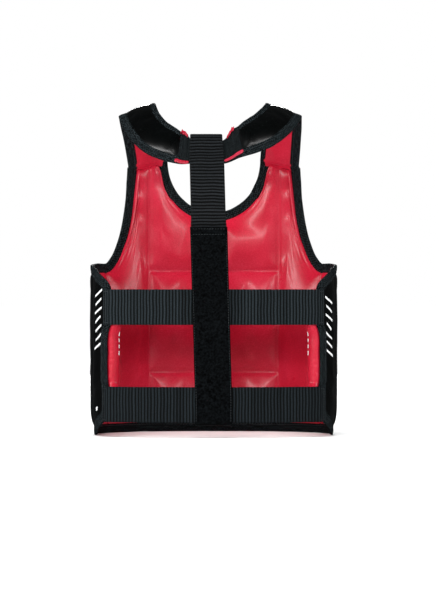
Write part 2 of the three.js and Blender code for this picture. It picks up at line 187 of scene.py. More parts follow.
def torso(angle, z, depth):
    """Points on the torso, at angles in degrees from the chest's centre line, heights and depths."""
    angle, z, depth = np.broadcast_arrays(*(np.asarray(v, float) for v in (angle, z, depth)))
    a = np.radians(angle)
    sin, cos = np.sin(a), np.cos(a)
    b = np.where(cos < 0, BACK_DEPTH, front_depth(z))
    u = np.sign(sin) * np.abs(sin) ** (2 / TORSO_POWER)
    v = -np.sign(cos) * np.abs(cos) ** (2 / TORSO_POWER)
    nx = np.sign(u) * np.abs(u) ** (TORSO_POWER - 1) / TORSO_HALF_WIDTH
    ny = np.sign(v) * np.abs(v) ** (TORSO_POWER - 1) / b
    n = np.hypot(nx, ny)
    return np.stack([TORSO_HALF_WIDTH * u + depth * nx / n, b * v + depth * ny / n + ORIGIN_Y, z], -1)


DEGREES = np.arange(151)
ARC = lengths(torso(DEGREES, 0, PATTERN_DEPTH))  # length along the flat pattern at each of DEGREES
ARMHOLE_FLARE = 6.5  # how far each armhole's lower edge is pushed out under the arm
FLARE_S, FLARE_REACH = 222, 45  # its middle along the pattern, and how far it reaches to each side
FLARE_RISE, FLARE_FALL = (204, 42), (250, 60)  # height where it starts to grow or fade, and over how much


def ramp_up(value, start_and_run):
    """0 up to a start, then smoothly to 1 over a run."""
    start, run = start_and_run
    return smooth((value - start) / run)


def armhole_flare(s, z):
    along = np.exp(-(((np.abs(s) - FLARE_S) / FLARE_REACH) ** 2))
    return ARMHOLE_FLARE * along * ramp_up(z, FLARE_RISE) * (1 - ramp_up(z, FLARE_FALL))


def on_torso(s, z, depth):
    s, z = np.asarray(s, float), np.asarray(z, float)
    return torso(np.sign(s) * np.interp(np.abs(s), ARC, DEGREES), z, depth + armhole_flare(s, z))


UPPER_PULL_Z, LOWER_PULL_Z = (142, 22), (-78, 14)  # the lower one is measured downwards
HEM_RISE_S, REAR_RISE_S = (245, 80), (262, 40)


def rear_s(z):
    """The rear edge, which the two bands pull towards the spine."""
    return REAR_S + UPPER_PULL * ramp_up(z, UPPER_PULL_Z) + LOWER_PULL * ramp_up(-z, LOWER_PULL_Z)


def hem_z(s):
    return REAR_CORNER_RISE * ramp_up(np.abs(s), HEM_RISE_S)


def wing_top_z(s):
    share = np.clip((s - SEAM_S) / (REAR_S + UPPER_PULL - SEAM_S), 0, 1)
    return WING_TOP_REAR + (WING_TOP - WING_TOP_REAR) * np.sqrt(1 - share**2)


def rear_share(s):
    """0 over most of a side panel, 1 at its rear border, which stands further out over the edge roll."""
    return ramp_up(s, REAR_RISE_S)


def front_top_z(s, inset):
    x = np.abs(s)
    neck_end, arm_start = NECK_HALF_WIDTH + inset, SHOULDER_OUTER_S - inset
    neck = NECK_TOP - (NECK_SCOOP + inset) * np.sqrt(np.maximum(1 - (x / neck_end) ** 2, 0))
    shoulder = mix(NECK_TOP, SHOULDER_OUTER_TOP, (x - neck_end) / (arm_start - neck_end))
    across = np.clip((SEAM_S - x) / (SEAM_S - arm_start), 0, 1)
    arm = SHOULDER_OUTER_TOP - (SHOULDER_OUTER_TOP - WING_TOP + inset) * np.sqrt(1 - across**2)
    return np.where(x < neck_end, neck, np.where(x < arm_start, shoulder, arm))


def neck_point(t, inset):
    a = t * math.pi / 2
    return (NECK_HALF_WIDTH + inset) * np.sin(a), NECK_TOP - (NECK_SCOOP + inset) * np.cos(a)


def armhole_point(t, inset):
    a = t * math.pi / 2
    across = SEAM_S - SHOULDER_OUTER_S + inset
    down = SHOULDER_OUTER_TOP - WING_TOP + inset
    return SEAM_S - across * np.cos(a), SHOULDER_OUTER_TOP - down * np.sin(a)


# ---------- curves ----------


def catmull_rom(points, samples):
    """Centripetal Catmull-Rom through the points, sampled evenly in each span, as (samples, 3)."""
    p = np.asarray(points, float)
    p = np.vstack([2 * p[0] - p[1], p, 2 * p[-1] - p[-2]])
    spans = len(p) - 3
    f = np.linspace(0, spans, samples)
    i = np.minimum(f.astype(int), spans - 1)
    t = (f - i)[:, None]
    p0, p1, p2, p3 = (p[i + k] for k in range(4))
    d0, d1, d2 = (np.linalg.norm(b - a, axis=1)[:, None] ** 0.5 for a, b in ((p0, p1), (p1, p2), (p2, p3)))
    t1 = ((p1 - p0) / d0 - (p2 - p0) / (d0 + d1) + (p2 - p1) / d1) * d1
    t2 = ((p2 - p1) / d1 - (p3 - p1) / (d1 + d2) + (p3 - p2) / d2) * d1
    return p1 + t1 * t + (-3 * p1 + 3 * p2 - 2 * t1 - t2) * t**2 + (2 * p1 - 2 * p2 + t1 + t2) * t**3


TANGENT_STEP = 0.6


class Path:
    """A curve by arc length: at(l) gives points and tangents."""

    def __init__(self, points):
        self.p = np.asarray(points, float)
        self.l = lengths(self.p)
        self.length = self.l[-1]

    def at(self, l):
        l = np.asarray(l, float)
        a, b = (between(np.clip(l + d, 0, self.length), self.l, self.p) for d in (-TANGENT_STEP, TANGENT_STEP))
        return between(l, self.l, self.p), unit(b - a)

    def outer_face(self, l, across, lift):
        """Points lifted off the curve towards the rear, away from the wearer, and the directions there."""
        point, tangent = self.at(l)
        out = unit(np.cross(tangent, across))
        out *= np.sign(out[:, 1:2])
        return point + out * lift, out


# ---------- meshes ----------


def new_mesh(name, points, faces, material, cloth=None, rib=None):
    """A mesh object from points in millimetres. cloth is each point's place on its material, in millimetres;
    rib is painted shade per point, dark in rib grooves and light on rib crests.
    """
    mesh = bpy.data.meshes.new(name)
    mesh.from_pydata((points * MM).tolist(), [], faces)
    mesh.validate()
    mesh.update()
    mesh.polygons.foreach_set("use_smooth", np.ones(len(mesh.polygons), bool))
    if cloth is not None:
        attribute = mesh.attributes.new("cloth", "FLOAT_VECTOR", "POINT")
        places = np.zeros((len(points), 3), np.float32)
        places[:, :2] = cloth.reshape(len(points), 2)
        attribute.data.foreach_set("vector", places.ravel())
    # The rib attribute carries painted shade and highlight for the ribbed materials.
    if rib is not None:
        attribute = mesh.attributes.new("rib", "FLOAT", "POINT")
        attribute.data.foreach_set("value", rib.astype(np.float32).ravel())
    mesh.materials.append(material)
    obj = bpy.data.objects.new(name, mesh)
    bpy.context.scene.collection.objects.link(obj)
    return obj


def quads(columns, rows, wrap_rows=False, base=0, flip=False):
    """Faces of a grid whose vertex (i, j) has index base + i * rows + j."""
    i, j = np.meshgrid(np.arange(columns - 1), np.arange(rows if wrap_rows else rows - 1), indexing="ij")
    k = (j + 1) % rows
    f = np.stack([i * rows + j, (i + 1) * rows + j, (i + 1) * rows + k, i * rows + k], -1).reshape(-1, 4) + base
    return (f[:, ::-1] if flip else f).tolist()


def closed_between(outside, inside):
    """Points and faces of a closed solid between two grids of the same shape."""
    n, m = outside.shape[:2]
    around = [(i, 0) for i in range(n)] + [(n - 1, j) for j in range(1, m)]
    around += [(i, m - 1) for i in range(n - 2, -1, -1)] + [(0, j) for j in range(m - 2, 0, -1)]
    ring = [i * m + j for i, j in around]
    faces = quads(n, m) + quads(n, m, base=n * m, flip=True)
    faces += [[b, a, a + n * m, b + n * m] for a, b in zip(ring, ring[1:] + ring[:1])]
    return np.concatenate([outside.reshape(-1, 3), inside.reshape(-1, 3)]), faces


def shell(name, outside, inside, material, cloth):
    """The same as a mesh object."""
    points, faces = closed_between(outside, inside)
    return face_outwards(new_mesh(name, points, faces, material, np.concatenate([cloth.reshape(-1, 2)] * 2)))


def tube(name, rings, material, cloth, rib=None):
    """A closed solid lofted through rings of points, with flat ends."""
    n, m = rings.shape[:2]
    faces = quads(n, m, wrap_rows=True) + [list(range(m)), [(n - 1) * m + j for j in range(m)][::-1]]
    obj = new_mesh(name, rings.reshape(-1, 3), faces, material, cloth.reshape(n * m, -1), rib)
    for face in obj.data.polygons[-2:]:
        face.use_smooth = False
    return face_outwards(obj)


def face_outwards(obj):
    """Turns the faces of a closed mesh outwards if its volume is negative."""
    mesh = obj.data
    mesh.calc_loop_triangles()
    co = np.zeros(len(mesh.vertices) * 3)
    mesh.vertices.foreach_get("co", co)
    co = co.reshape(-1, 3)
    tri = np.zeros(len(mesh.loop_triangles) * 3, int)
    mesh.loop_triangles.foreach_get("vertices", tri)
    a, b, c = (co[tri.reshape(-1, 3)[:, k]] for k in range(3))
    if np.einsum("ij,ij->i", a, np.cross(b, c)).sum() < 0:
        mesh.flip_normals()
    return obj


def join_points(parts):
    """One list of points and faces from several."""
    points, faces, base = [], [], 0
    for p, f in parts:
        points.append(p)
        faces += [[i + base for i in face] for face in f]
        base += len(p)
    return np.concatenate(points), faces


# ---------- stitches ----------

STITCH_PITCH, STITCH_LENGTH, STITCH_RADIUS = 4.2, 3.3, 0.42
stitch_runs = {}


def stitch_run(group, points, normals, pitch=STITCH_PITCH, radius=STITCH_RADIUS):
    """Notes a row of stitches along points, lying on a surface with these normals, for one group's mesh."""
    path = Path(points)
    count = max(int(path.length / pitch), 1)
    at = (np.arange(count) + 0.5) * path.length / count
    centre, tangent = path.at(at)
    normal = between(at, path.l, normals)
    stitch_runs.setdefault(group, []).append((centre, tangent, unit(normal), radius))


def build_stitches(group, material):
    around = np.arange(6) * math.pi / 3
    along = np.array([-1, -0.82, -0.3, 0.3, 0.82, 1])
    girth = np.array([0.45, 0.85, 1, 1, 0.85, 0.45])
    parts = []
    for centre, tangent, normal, radius in stitch_runs[group]:
        side = unit(np.cross(tangent, normal))
        up = unit(np.cross(side, tangent))
        for c, t, b, n in zip(centre, tangent, side, up):
            spine = c + np.outer(along * STITCH_LENGTH / 2, t) - np.outer(0.55 * along**4, n)
            circle = np.cos(around)[:, None] * b + np.sin(around)[:, None] * n * 0.8
            rings = spine[:, None] + girth[:, None, None] * radius * circle
            ends = [list(range(6)), list(range(35, 29, -1))]
            parts.append((rings.reshape(-1, 3), quads(6, 6, wrap_rows=True) + ends))
    points, faces = join_points(parts)
    return face_outwards(new_mesh(group, points, faces, material))


# ---------- materials ----------


def srgb(hex_color):
    value = [int(hex_color[i : i + 2], 16) / 255 for i in (1, 3, 5)]
    return tuple(c / 12.92 if c <= 0.04045 else ((c + 0.055) / 1.055) ** 2.4 for c in value) + (1,)


class Nodes:
    """Small helper that makes and links a material's nodes."""

    def __init__(self, name, roughness, **sockets):
        self.material = bpy.data.materials.new(name)
        self.material.use_nodes = True
        self.tree = self.material.node_tree
        self.shader = self.tree.nodes["Principled BSDF"]
        self.shader.inputs["Roughness"].default_value = roughness
        for socket, value in sockets.items():
            self.shader.inputs[socket.replace("_", " ")].default_value = value

    def add(self, kind, settings=(), inputs=()):
        node = self.tree.nodes.new(kind)
        for key, value in dict(settings).items():
            setattr(node, key, value)
        for key, value in dict(inputs).items():
            socket = node.inputs[key]
            if isinstance(value, bpy.types.NodeSocket):
                self.tree.links.new(value, socket)
            else:
                socket.default_value = value
        return node

    def math(self, operation, a, b=0.0, c=0.0):
        return self.add("ShaderNodeMath", {"operation": operation}, {0: a, 1: b, 2: c}).outputs[0]

    def weighted(self, a, a_share, b, b_share):
        return self.math("ADD", self.math("MULTIPLY", a, a_share), self.math("MULTIPLY", b, b_share))

    def noise(self, vector, scale, detail=3.0, roughness=0.55):
        inputs = {"Vector": vector, "Scale": scale, "Detail": detail, "Roughness": roughness}
        return self.add("ShaderNodeTexNoise", (), inputs).outputs["Fac"]

    def voronoi(self, vector, scale, feature="F1"):
        inputs = {"Vector": vector, "Scale": scale}
        return self.add("ShaderNodeTexVoronoi", {"feature": feature}, inputs).outputs["Distance"]

    def ramp(self, factor, stops):
        node = self.add("ShaderNodeValToRGB", (), {0: factor})
        elements = node.color_ramp.elements
        while len(elements) < len(stops):
            elements.new(0.5)
        for element, (position, color) in zip(elements, stops):
            element.position, element.color = position, srgb(color)
        return node.outputs[0]

    def object_coordinates(self):
        return self.add("ShaderNodeTexCoord").outputs["Object"]

    def attribute(self, name, output="Vector"):
        return self.add("ShaderNodeAttribute", {"attribute_name": name}).outputs[output]

    def color(self, socket):
        self.tree.links.new(socket, self.shader.inputs["Base Color"])

    def roughness(self, socket):
        self.tree.links.new(socket, self.shader.inputs["Roughness"])

    def bump(self, height, distance, strength=1.0, under=None):
        inputs = {"Height": height, "Distance": distance, "Strength": strength}
        if under is not None:
            inputs["Normal"] = under
        return self.add("ShaderNodeBump", (), inputs).outputs[0]

    def normal(self, socket):
        self.tree.links.new(socket, self.shader.inputs["Normal"])


def leather(name, dark, base, light, roughness):
    n = Nodes(name, roughness, Coat_Weight=0.16, Coat_Roughness=0.17, Specular_IOR_Level=0.26)
    at = n.object_coordinates()
    pebbles = n.voronoi(at, 620, "SMOOTH_F1")
    creases = n.noise(at, 46, 4)
    broad = n.noise(at, 9, 2)
    n.color(n.ramp(n.weighted(broad, 0.7, pebbles, 0.3), [(0.3, dark), (0.5, base), (0.78, light)]))
    n.roughness(n.math("MULTIPLY_ADD", creases, 0.2, roughness - 0.1))
    fine = n.bump(pebbles, 0.00022, 0.4)
    n.normal(n.bump(creases, 0.0006, 0.35, fine))
    return n.material


def woven(name, dark, base, light, pitch, roughness=0.62, height=0.0003, speckle=0.5):
    """Plain weave: threads cross at right angles, in the cloth's own coordinates (millimetres)."""
    n = Nodes(name, roughness, Specular_IOR_Level=0.04)
    cloth = n.attribute("cloth")
    split = n.add("ShaderNodeSeparateXYZ", (), {0: cloth})
    turns = 2 * math.pi / pitch
    along = n.math("SINE", n.math("MULTIPLY", split.outputs[0], turns))
    across = n.math("SINE", n.math("MULTIPLY", split.outputs[1], turns))
    weave = n.math("MULTIPLY_ADD", n.math("MULTIPLY", along, across), 0.5, 0.5)
    grain = n.noise(cloth, 0.3, 4, 0.85)
    shade = n.weighted(weave, 1 - speckle, grain, speckle)
    n.color(n.ramp(shade, [(0.4, dark), (0.5, base), (0.62, light)]))
    n.normal(n.bump(shade, height, 0.8))
    return n.material


def ribbed(name, groove, base, painted_crest_highlight):
    n = Nodes(name, 0.68, Sheen_Weight=0.012, Sheen_Roughness=0.5, Specular_IOR_Level=0.1)
    cloth = n.attribute("cloth")
    split = n.add("ShaderNodeSeparateXYZ", (), {0: cloth})
    # The rib attribute is painted shade and highlight: the colour is darker in each rib's groove and lighter on
    # its crest, beyond what the ribs' shape and bump shade.
    rib = n.attribute("rib", "Fac")
    yarn = n.math("SINE", n.math("MULTIPLY", split.outputs[1], 2 * math.pi / 1.5))
    fuzz = n.noise(cloth, 0.8, 4, 0.75)
    fleck = n.math("MULTIPLY_ADD", fuzz, 1.3, -0.15)
    light = n.math("MULTIPLY", rib, n.math("MULTIPLY_ADD", fleck, 1.1, 0.3))
    # The groove colour is painted shade and the crest colour a painted highlight; fleck adds random tone.
    n.color(n.ramp(light, [(0.05, groove), (0.42, base), (0.8, painted_crest_highlight)]))
    yarns = n.math("MULTIPLY_ADD", yarn, 0.35, n.math("MULTIPLY", fuzz, 0.8))
    n.normal(n.bump(yarns, 0.00028, 0.7))
    return n.material


def pile(name, dark, light, scale, height, sheen):
    n = Nodes(name, 0.92, Sheen_Weight=sheen, Sheen_Roughness=0.45, Specular_IOR_Level=0.04)
    at = n.object_coordinates()
    tufts = n.voronoi(at, scale)
    fuzz = n.noise(at, scale * 1.7, 4, 0.75)
    clumps = n.noise(at, 360, 3, 0.7)
    n.color(n.ramp(n.weighted(fuzz, 0.35, clumps, 0.65), [(0.42, dark), (0.6, light)]))
    n.normal(n.bump(n.math("ADD", n.math("MULTIPLY", tufts, 0.6), fuzz), height, 0.8))
    return n.material


def thread(name, color, light):
    n = Nodes(name, 0.5, Specular_IOR_Level=0.4)
    twist = n.noise(n.object_coordinates(), 1500, 2)
    n.color(n.ramp(twist, [(0.3, color), (0.7, light)]))
    n.normal(n.bump(twist, 0.0001, 0.6))
    return n.material


def printed(name, ink, worn):
    n = Nodes(name, 0.45, Specular_IOR_Level=0.4)
    at = n.object_coordinates()
    wear = n.noise(at, 420, 4, 0.7)
    n.color(n.ramp(wear, [(0.3, worn), (0.42, ink)]))
    n.normal(n.bump(n.voronoi(at, 620, "SMOOTH_F1"), 0.00012, 0.4))
    return n.material


def paper_floor(name):
    n = Nodes(name, 0.9, Specular_IOR_Level=0.1)
    n.color(n.ramp(n.noise(n.object_coordinates(), 3, 2), [(0.3, "#fafafa"), (0.7, "#fcfcfc")]))
    return n.material


BLACK_LEATHER = leather("black_leather", "#010101", "#020303", "#050707", 0.3)
RED_LEATHER = leather("red_leather", "#ad1026", "#c21c35", "#d1334c", 0.32)
RED_PIPING = leather("red_piping_leather", "#82101f", "#a31a2f", "#b92d48", 0.45)
BINDING = woven("binding_weave", "#000101", "#060708", "#31393c", 4.2, 0.85, speckle=0.75)
TAB_FABRIC = woven("tab_weave", "#020202", "#0b0d0e", "#23282a", 2.2, 0.7, 0.0002, 0.45)
BAND_ELASTICS = {
    "upper": ribbed("upper_band_elastic", "#010202", "#080d0f", "#272f33"),
    # The lower band's copy is darker all over: painted shade, for the dimmer light on the lower back.
    "lower": ribbed("lower_band_elastic_shaded", "#010101", "#05080a", "#1e262a"),
}
STRAP_ELASTIC = ribbed("strap_elastic", "#000000", "#020303", "#222528")
TAIL_PILE = pile("tail_pile", "#000000", "#0d1012", 420, 0.0005, 0.0)
LOOP_PILE = pile("loop_pile", "#030404", "#121516", 700, 0.0006, 0.04)
HOOKS = pile("hook_field", "#050606", "#141618", 560, 0.0007, 0.05)
BLACK_THREAD = thread("black_thread", "#0a0d0e", "#2c3336")
WHITE_PRINT = printed("white_print", "#f6f9f9", "#a9afb0")

# ---------- cloth simulation of the padded covers ----------

SIM_FRAMES = 18
pads = []


def pad(name, outside, backing, pinned, material, cloth, lift, out):
    """Notes a padded cover. outside is its grid before it is inflated, backing the grid behind it, pinned the
    points that seams hold, lift the most that a point may move, and out the outward directions."""
    pads.append(
        {"name": name, "outside": outside, "backing": backing, "pinned": pinned, "material": material,
         "cloth": cloth, "lift": lift, "out": out}
    )


PRESSURE = 7.0
GROWTH = 0.006
SMOOTHING_PASSES = 3


def inflate_pads():
    """Runs all the pads' cloth at once; each pad's grid is replaced by the settled one."""
    scene = bpy.context.scene
    for p in pads:
        n, m = p["outside"].shape[:2]
        faces = quads(n, m, flip=np.einsum("ijk,ijk->", grid_normals(p["outside"]), p["out"]) < 0)
        obj = new_mesh(p["name"] + "_cloth", p["outside"].reshape(-1, 3), faces, p["material"])
        group = obj.vertex_groups.new(name="seams")
        group.add(np.flatnonzero(p["pinned"].ravel()).tolist(), 1.0, "REPLACE")
        cloth = obj.modifiers.new("cloth", "CLOTH")
        settings = cloth.settings
        settings.quality = 6
        settings.mass = 0.2
        settings.vertex_group_mass = "seams"
        settings.effector_weights.gravity = 0
        settings.use_pressure = True
        settings.uniform_pressure_force = PRESSURE
        settings.shrink_min = -GROWTH
        settings.tension_stiffness = settings.compression_stiffness = 18
        settings.shear_stiffness = 6
        settings.bending_stiffness = 5
        settings.air_damping = 8
        cloth.collision_settings.use_collision = False
        cloth.collision_settings.use_self_collision = False
        p["object"] = obj
    for frame_number in range(1, SIM_FRAMES + 1):
        scene.frame_set(frame_number)
    depsgraph = bpy.context.evaluated_depsgraph_get()
    for p in pads:
        mesh = p["object"].evaluated_get(depsgraph).to_mesh()
        co = np.zeros(len(mesh.vertices) * 3)
        mesh.vertices.foreach_get("co", co)
        moved = co.reshape(p["outside"].shape) / MM - p["outside"]
        p["object"].evaluated_get(depsgraph).to_mesh_clear()
        for _ in range(SMOOTHING_PASSES):
            moved[1:-1, 1:-1] = mix(moved[1:-1, 1:-1], neighbour_mean(moved), 0.5)
        length = np.linalg.norm(moved, axis=-1, keepdims=True)
        limit = p["lift"][..., None]
        moved *= limit * np.tanh(length / np.maximum(limit, 1e-6)) / np.maximum(length, 1e-9)
        p["outside"] = p["outside"] + moved
    for p in pads:
        bpy.data.objects.remove(p["object"])
    scene.frame_set(1)


def neighbour_mean(grid):
    """The mean of the four neighbours of each inner point of a grid."""
    return (grid[:-2, 1:-1] + grid[2:, 1:-1] + grid[1:-1, :-2] + grid[1:-1, 2:]) / 4


def grid_normals(grid):
    return unit(np.cross(np.gradient(grid, axis=0), np.gradient(grid, axis=1)))


def refine(grid):
    """Doubles a grid's density with smooth interpolation along both directions."""
    for axis in (0, 1):
        g = np.moveaxis(grid, axis, 0)
        padded_grid = np.concatenate([2 * g[:1] - g[1:2], g, 2 * g[-1:] - g[-2:-1]])
        middle = (-padded_grid[:-3] + 9 * padded_grid[1:-2] + 9 * padded_grid[2:-1] - padded_grid[3:]) / 16
        out = np.empty((2 * len(g) - 1, *g.shape[1:]))
        out[::2], out[1::2] = g, middle
        grid = np.moveaxis(out, 0, axis)
    return grid


surfaces = {}


def build_pads():
    made = {}
    for p in pads:
        outside, backing, cloth = (refine(p[k]) for k in ("outside", "backing", "cloth"))
        made[p["name"]] = shell(p["name"], outside, backing, p["material"], cloth)
        surfaces[p["name"]] = BVHTree.FromPolygons(
            [tuple(v) for v in outside.reshape(-1, 3)], quads(*outside.shape[:2])
        )
    return made


# ---------- padded panels ----------

COVER_SEAM, COVER_CHANNEL, COVER_CROWN = 16.6, 18.0, 21.6  # depths of the cover before it is inflated
LINER_SEAM, LINER_CHANNEL, LINER_CROWN = 12.4, 8.4, 4.2
BACKING_COVER, BACKING_LINER = 14.8, 14.2
COVER_LIFT, LINER_LIFT = 4.6, 4.6
SEAM_INSET = BORDER - 1.5  # the leather's edge is tucked under the binding
EDGE_REACH, CHANNEL_REACH = 26, 20  # how far from a seam a pad reaches its full height
CHANNEL_LIFT = 0.25  # share of the lift that is left over a channel
PINNED = 0.1  # points nearer than this to a seam are held by it
FAR = 1e9


def crown(distance, reach):
    """0 at a seam, rising to 1 at reach away from it, like the side of a cushion."""
    t = np.clip(distance / reach, 0, 1)
    return (1 - (1 - t) ** 2) ** 0.75


def add_pad_pair(name, s, cover_z, to_edge, to_channel, side=1, rear=None, tuck=0.0):
    """The black cover and red liner of one panel, from pattern grids s and cover_z and each point's distance to
    the panel's edge and to its nearest sewn channel; tuck is how much lower the liner's points are."""
    cloth = np.stack([s, cover_z], -1)
    for kind, seam, channel, top, backing, lift, material, sign in (
        ("cover", COVER_SEAM, COVER_CHANNEL, COVER_CROWN, BACKING_COVER, COVER_LIFT, BLACK_LEATHER, 1),
        ("liner", LINER_SEAM, LINER_CHANNEL, LINER_CROWN, BACKING_LINER, LINER_LIFT, RED_LEATHER, -1),
    ):
        z = cover_z - tuck * (kind == "liner")
        edge = crown(to_edge, EDGE_REACH)
        dip = crown(to_channel, CHANNEL_REACH)
        seam_depth = seam if rear is None else mix(seam, rear[kind][0], rear["share"])
        backing_depth = backing if rear is None else mix(backing, rear[kind][1], rear["share"])
        depth = mix(seam_depth, mix(channel, top, dip), edge)
        outside = on_torso(side * s, z, depth)
        out = sign * (on_torso(side * s, z, depth + 1) - outside)
        pinned = (to_edge < PINNED) | (to_channel < PINNED)
        amount = lift * np.minimum(edge, CHANNEL_LIFT + (1 - CHANNEL_LIFT) * dip)
        behind = on_torso(side * s, z, backing_depth)
        pad(f"{name}_{kind}", outside, behind, pinned, material, cloth, amount, out)


FRONT_CHANNELS = (88, 162, 236)
FLANK_S = 100
SHOULDER_TUCK = 3.5  # how far the liner ends below the cover at the shoulder seams


def front_grid():
    """Pattern grid of the front panel, with grid lines along the channels and the flank seams."""
    half = np.concatenate([np.linspace(0, FLANK_S, 22), np.linspace(FLANK_S, SEAM_S, 19)[1:]])
    s = np.concatenate([-half[:0:-1], half])
    bottom = SEAM_INSET
    lines = [bottom, *FRONT_CHANNELS]
    rows = np.concatenate([np.linspace(a, b, 15)[:-1] for a, b in zip(lines, lines[1:])])
    own_top = front_top_z(s, SEAM_INSET)
    upper = np.linspace(0, 1, 24)
    top_at = front_top_z(np.minimum(np.abs(s), FLANK_S), SEAM_INSET)  # the flanks' rows end where the seam does
    z = np.concatenate([np.tile(rows, (len(s), 1)), mix(lines[-1], top_at[:, None], upper[None, :])], axis=1)
    flank = np.abs(s) > FLANK_S
    share = (z - bottom) / (top_at[:, None] - bottom)
    z = np.where(flank[:, None], mix(bottom, own_top[:, None], share), z)
    return np.repeat(s[:, None], z.shape[1], 1), z


def edge_distance(s, z):
    """Distance on the pattern from each point of a grid to the nearest point of the grid's own edge."""
    grid = np.stack([s, z], -1)
    d = np.full(s.shape, FAR)
    for a, b in np.concatenate([grid[:, 0], grid[:, -1], grid[0], grid[-1]]):
        d = np.minimum(d, np.hypot(s - a, z - b))
    d[:, 0] = d[:, -1] = d[0] = d[-1] = 0
    return d


def add_front():
    s, z = front_grid()
    edge = edge_distance(s, z)
    centre = np.abs(s) <= FLANK_S + 0.01
    channel = np.full(s.shape, FAR)
    for line in FRONT_CHANNELS:
        channel = np.where(centre, np.minimum(channel, np.abs(z - line)), channel)
    seam_top = front_top_z(np.full(1, FLANK_S), SEAM_INSET)[0]
    channel = np.where(z < seam_top, np.minimum(channel, np.abs(np.abs(s) - FLANK_S)), channel)
    tuck = np.zeros(s.shape)
    tuck[:, -1] = SHOULDER_TUCK * (np.abs(np.abs(s[:, -1]) - (NECK_HALF_WIDTH + SHOULDER_OUTER_S) / 2) < 36)
    add_pad_pair("front_panel", s, z, edge, channel, tuck=tuck)


WING_CHANNEL_S = 258


def wing_grid():
    front = np.linspace(SEAM_S, WING_CHANNEL_S, 19)
    v = np.linspace(0, 1, 56)
    rear_share = np.linspace(0, 1, 15)[1:]
    nominal = np.concatenate([front, mix(WING_CHANNEL_S, REAR_S, rear_share)])
    bottom = hem_z(nominal) + SEAM_INSET
    top = wing_top_z(nominal) - SEAM_INSET
    z = mix(bottom[:, None], top[:, None], v[None, :])
    s = np.repeat(nominal[:, None], len(v), 1)
    for k, share in enumerate(rear_share):
        i = len(front) + k
        s[i] = mix(WING_CHANNEL_S, rear_s(z[i]) - SEAM_INSET, share)
    return s, z


def add_wing(side_name, side):
    s, z = wing_grid()
    channel = np.abs(s - WING_CHANNEL_S)
    rear = {"share": rear_share(s), "cover": (21.0, 20.2), "liner": (19.2, 20.0)}
    add_pad_pair(f"side_{side_name}", s, z, edge_distance(s, z), channel, side, rear)


# ---------- collar pads ----------

COLLAR_INNER = [
    [68, -103, 399.5], [70.5, -82, 430], [75, -48, 459], [78.5, -10, 473.5], [78, 22, 471.5], [71.5, 51, 460.5],
    [60, 72, 448.5], [49, 85, 440.5], [38, 93, 431.5], [23, 100.5, 417], [0, 101, 415.5],
]
COLLAR_OUTER = [
    [124.5, -80, 387.5], [127.5, -56, 418], [130.5, -24, 443.5], [131, 8, 455], [125.5, 36, 443],
    [114, 62, 426], [93, 90, 406.5], [68, 106.5, 395], [44, 113.5, 388.5], [23, 116.6, 384.5], [0, 117, 383],
]
SPINE_LEAN, SPINE_LEAN_START = 0.028, 53
COLLAR_SHIFT, COLLAR_SAG = 5, 0.14
PAD_END = 0.79
NECK_BORDER, ARM_BORDER = 0.14, 0.22
COLLAR_WIDTH = 57  # typical
COLLAR_EDGES = [catmull_rom(edge, 801) for edge in (COLLAR_INNER, COLLAR_OUTER)]
COLLAR_RUN = np.gradient(sum(COLLAR_EDGES), axis=0)
COLLAR_T = np.linspace(0, 1, 801)


def as_worn(p):
    """The back of the collar, moved with the strap: its left pad sags and its right pad rises."""
    x, y = p[..., 0], p[..., 1]
    sag = COLLAR_SAG * x * smooth((np.abs(x) - 18) / 26) / (1 + (x / 80) ** 2) * smooth(y / 90)
    shift = COLLAR_SHIFT * smooth((y + 100) / 110)
    return p + np.stack([shift, np.full_like(shift, ORIGIN_Y), -sag], -1)


SEAM_LAP = 0.03  # share of t that laps down over the front panel at the shoulder seam


def collar(t, w, depth, side):
    """Points of the collar: t along it, w from neck edge to arm edge, depth outwards from its middle."""
    t, w, depth = np.broadcast_arrays(*(np.asarray(v, float) for v in (t, w, depth)))
    inner, outer, run = (between(t, COLLAR_T, rows) for rows in (*COLLAR_EDGES, COLLAR_RUN))
    normal = unit(np.cross(run, outer - inner))
    facing = np.where(t > 0.5, normal[..., 1], normal[..., 2])
    normal = normal * np.where(facing < 0, -1, 1)[..., None]
    p = mix(inner, outer, w[..., None]) + normal * depth[..., None]
    side = np.broadcast_to(side, t.shape)
    p = as_worn(p * np.stack([side, np.ones(t.shape), np.ones(t.shape)], -1))
    across = mix(NECK_HALF_WIDTH, SHOULDER_OUTER_S, w)
    lapped = on_torso(side * across, mix(NECK_TOP, SHOULDER_OUTER_TOP, w) - 7, 14.5 + depth)
    return mix(p, lapped, np.clip(-t / SEAM_LAP, 0, 1)[..., None])


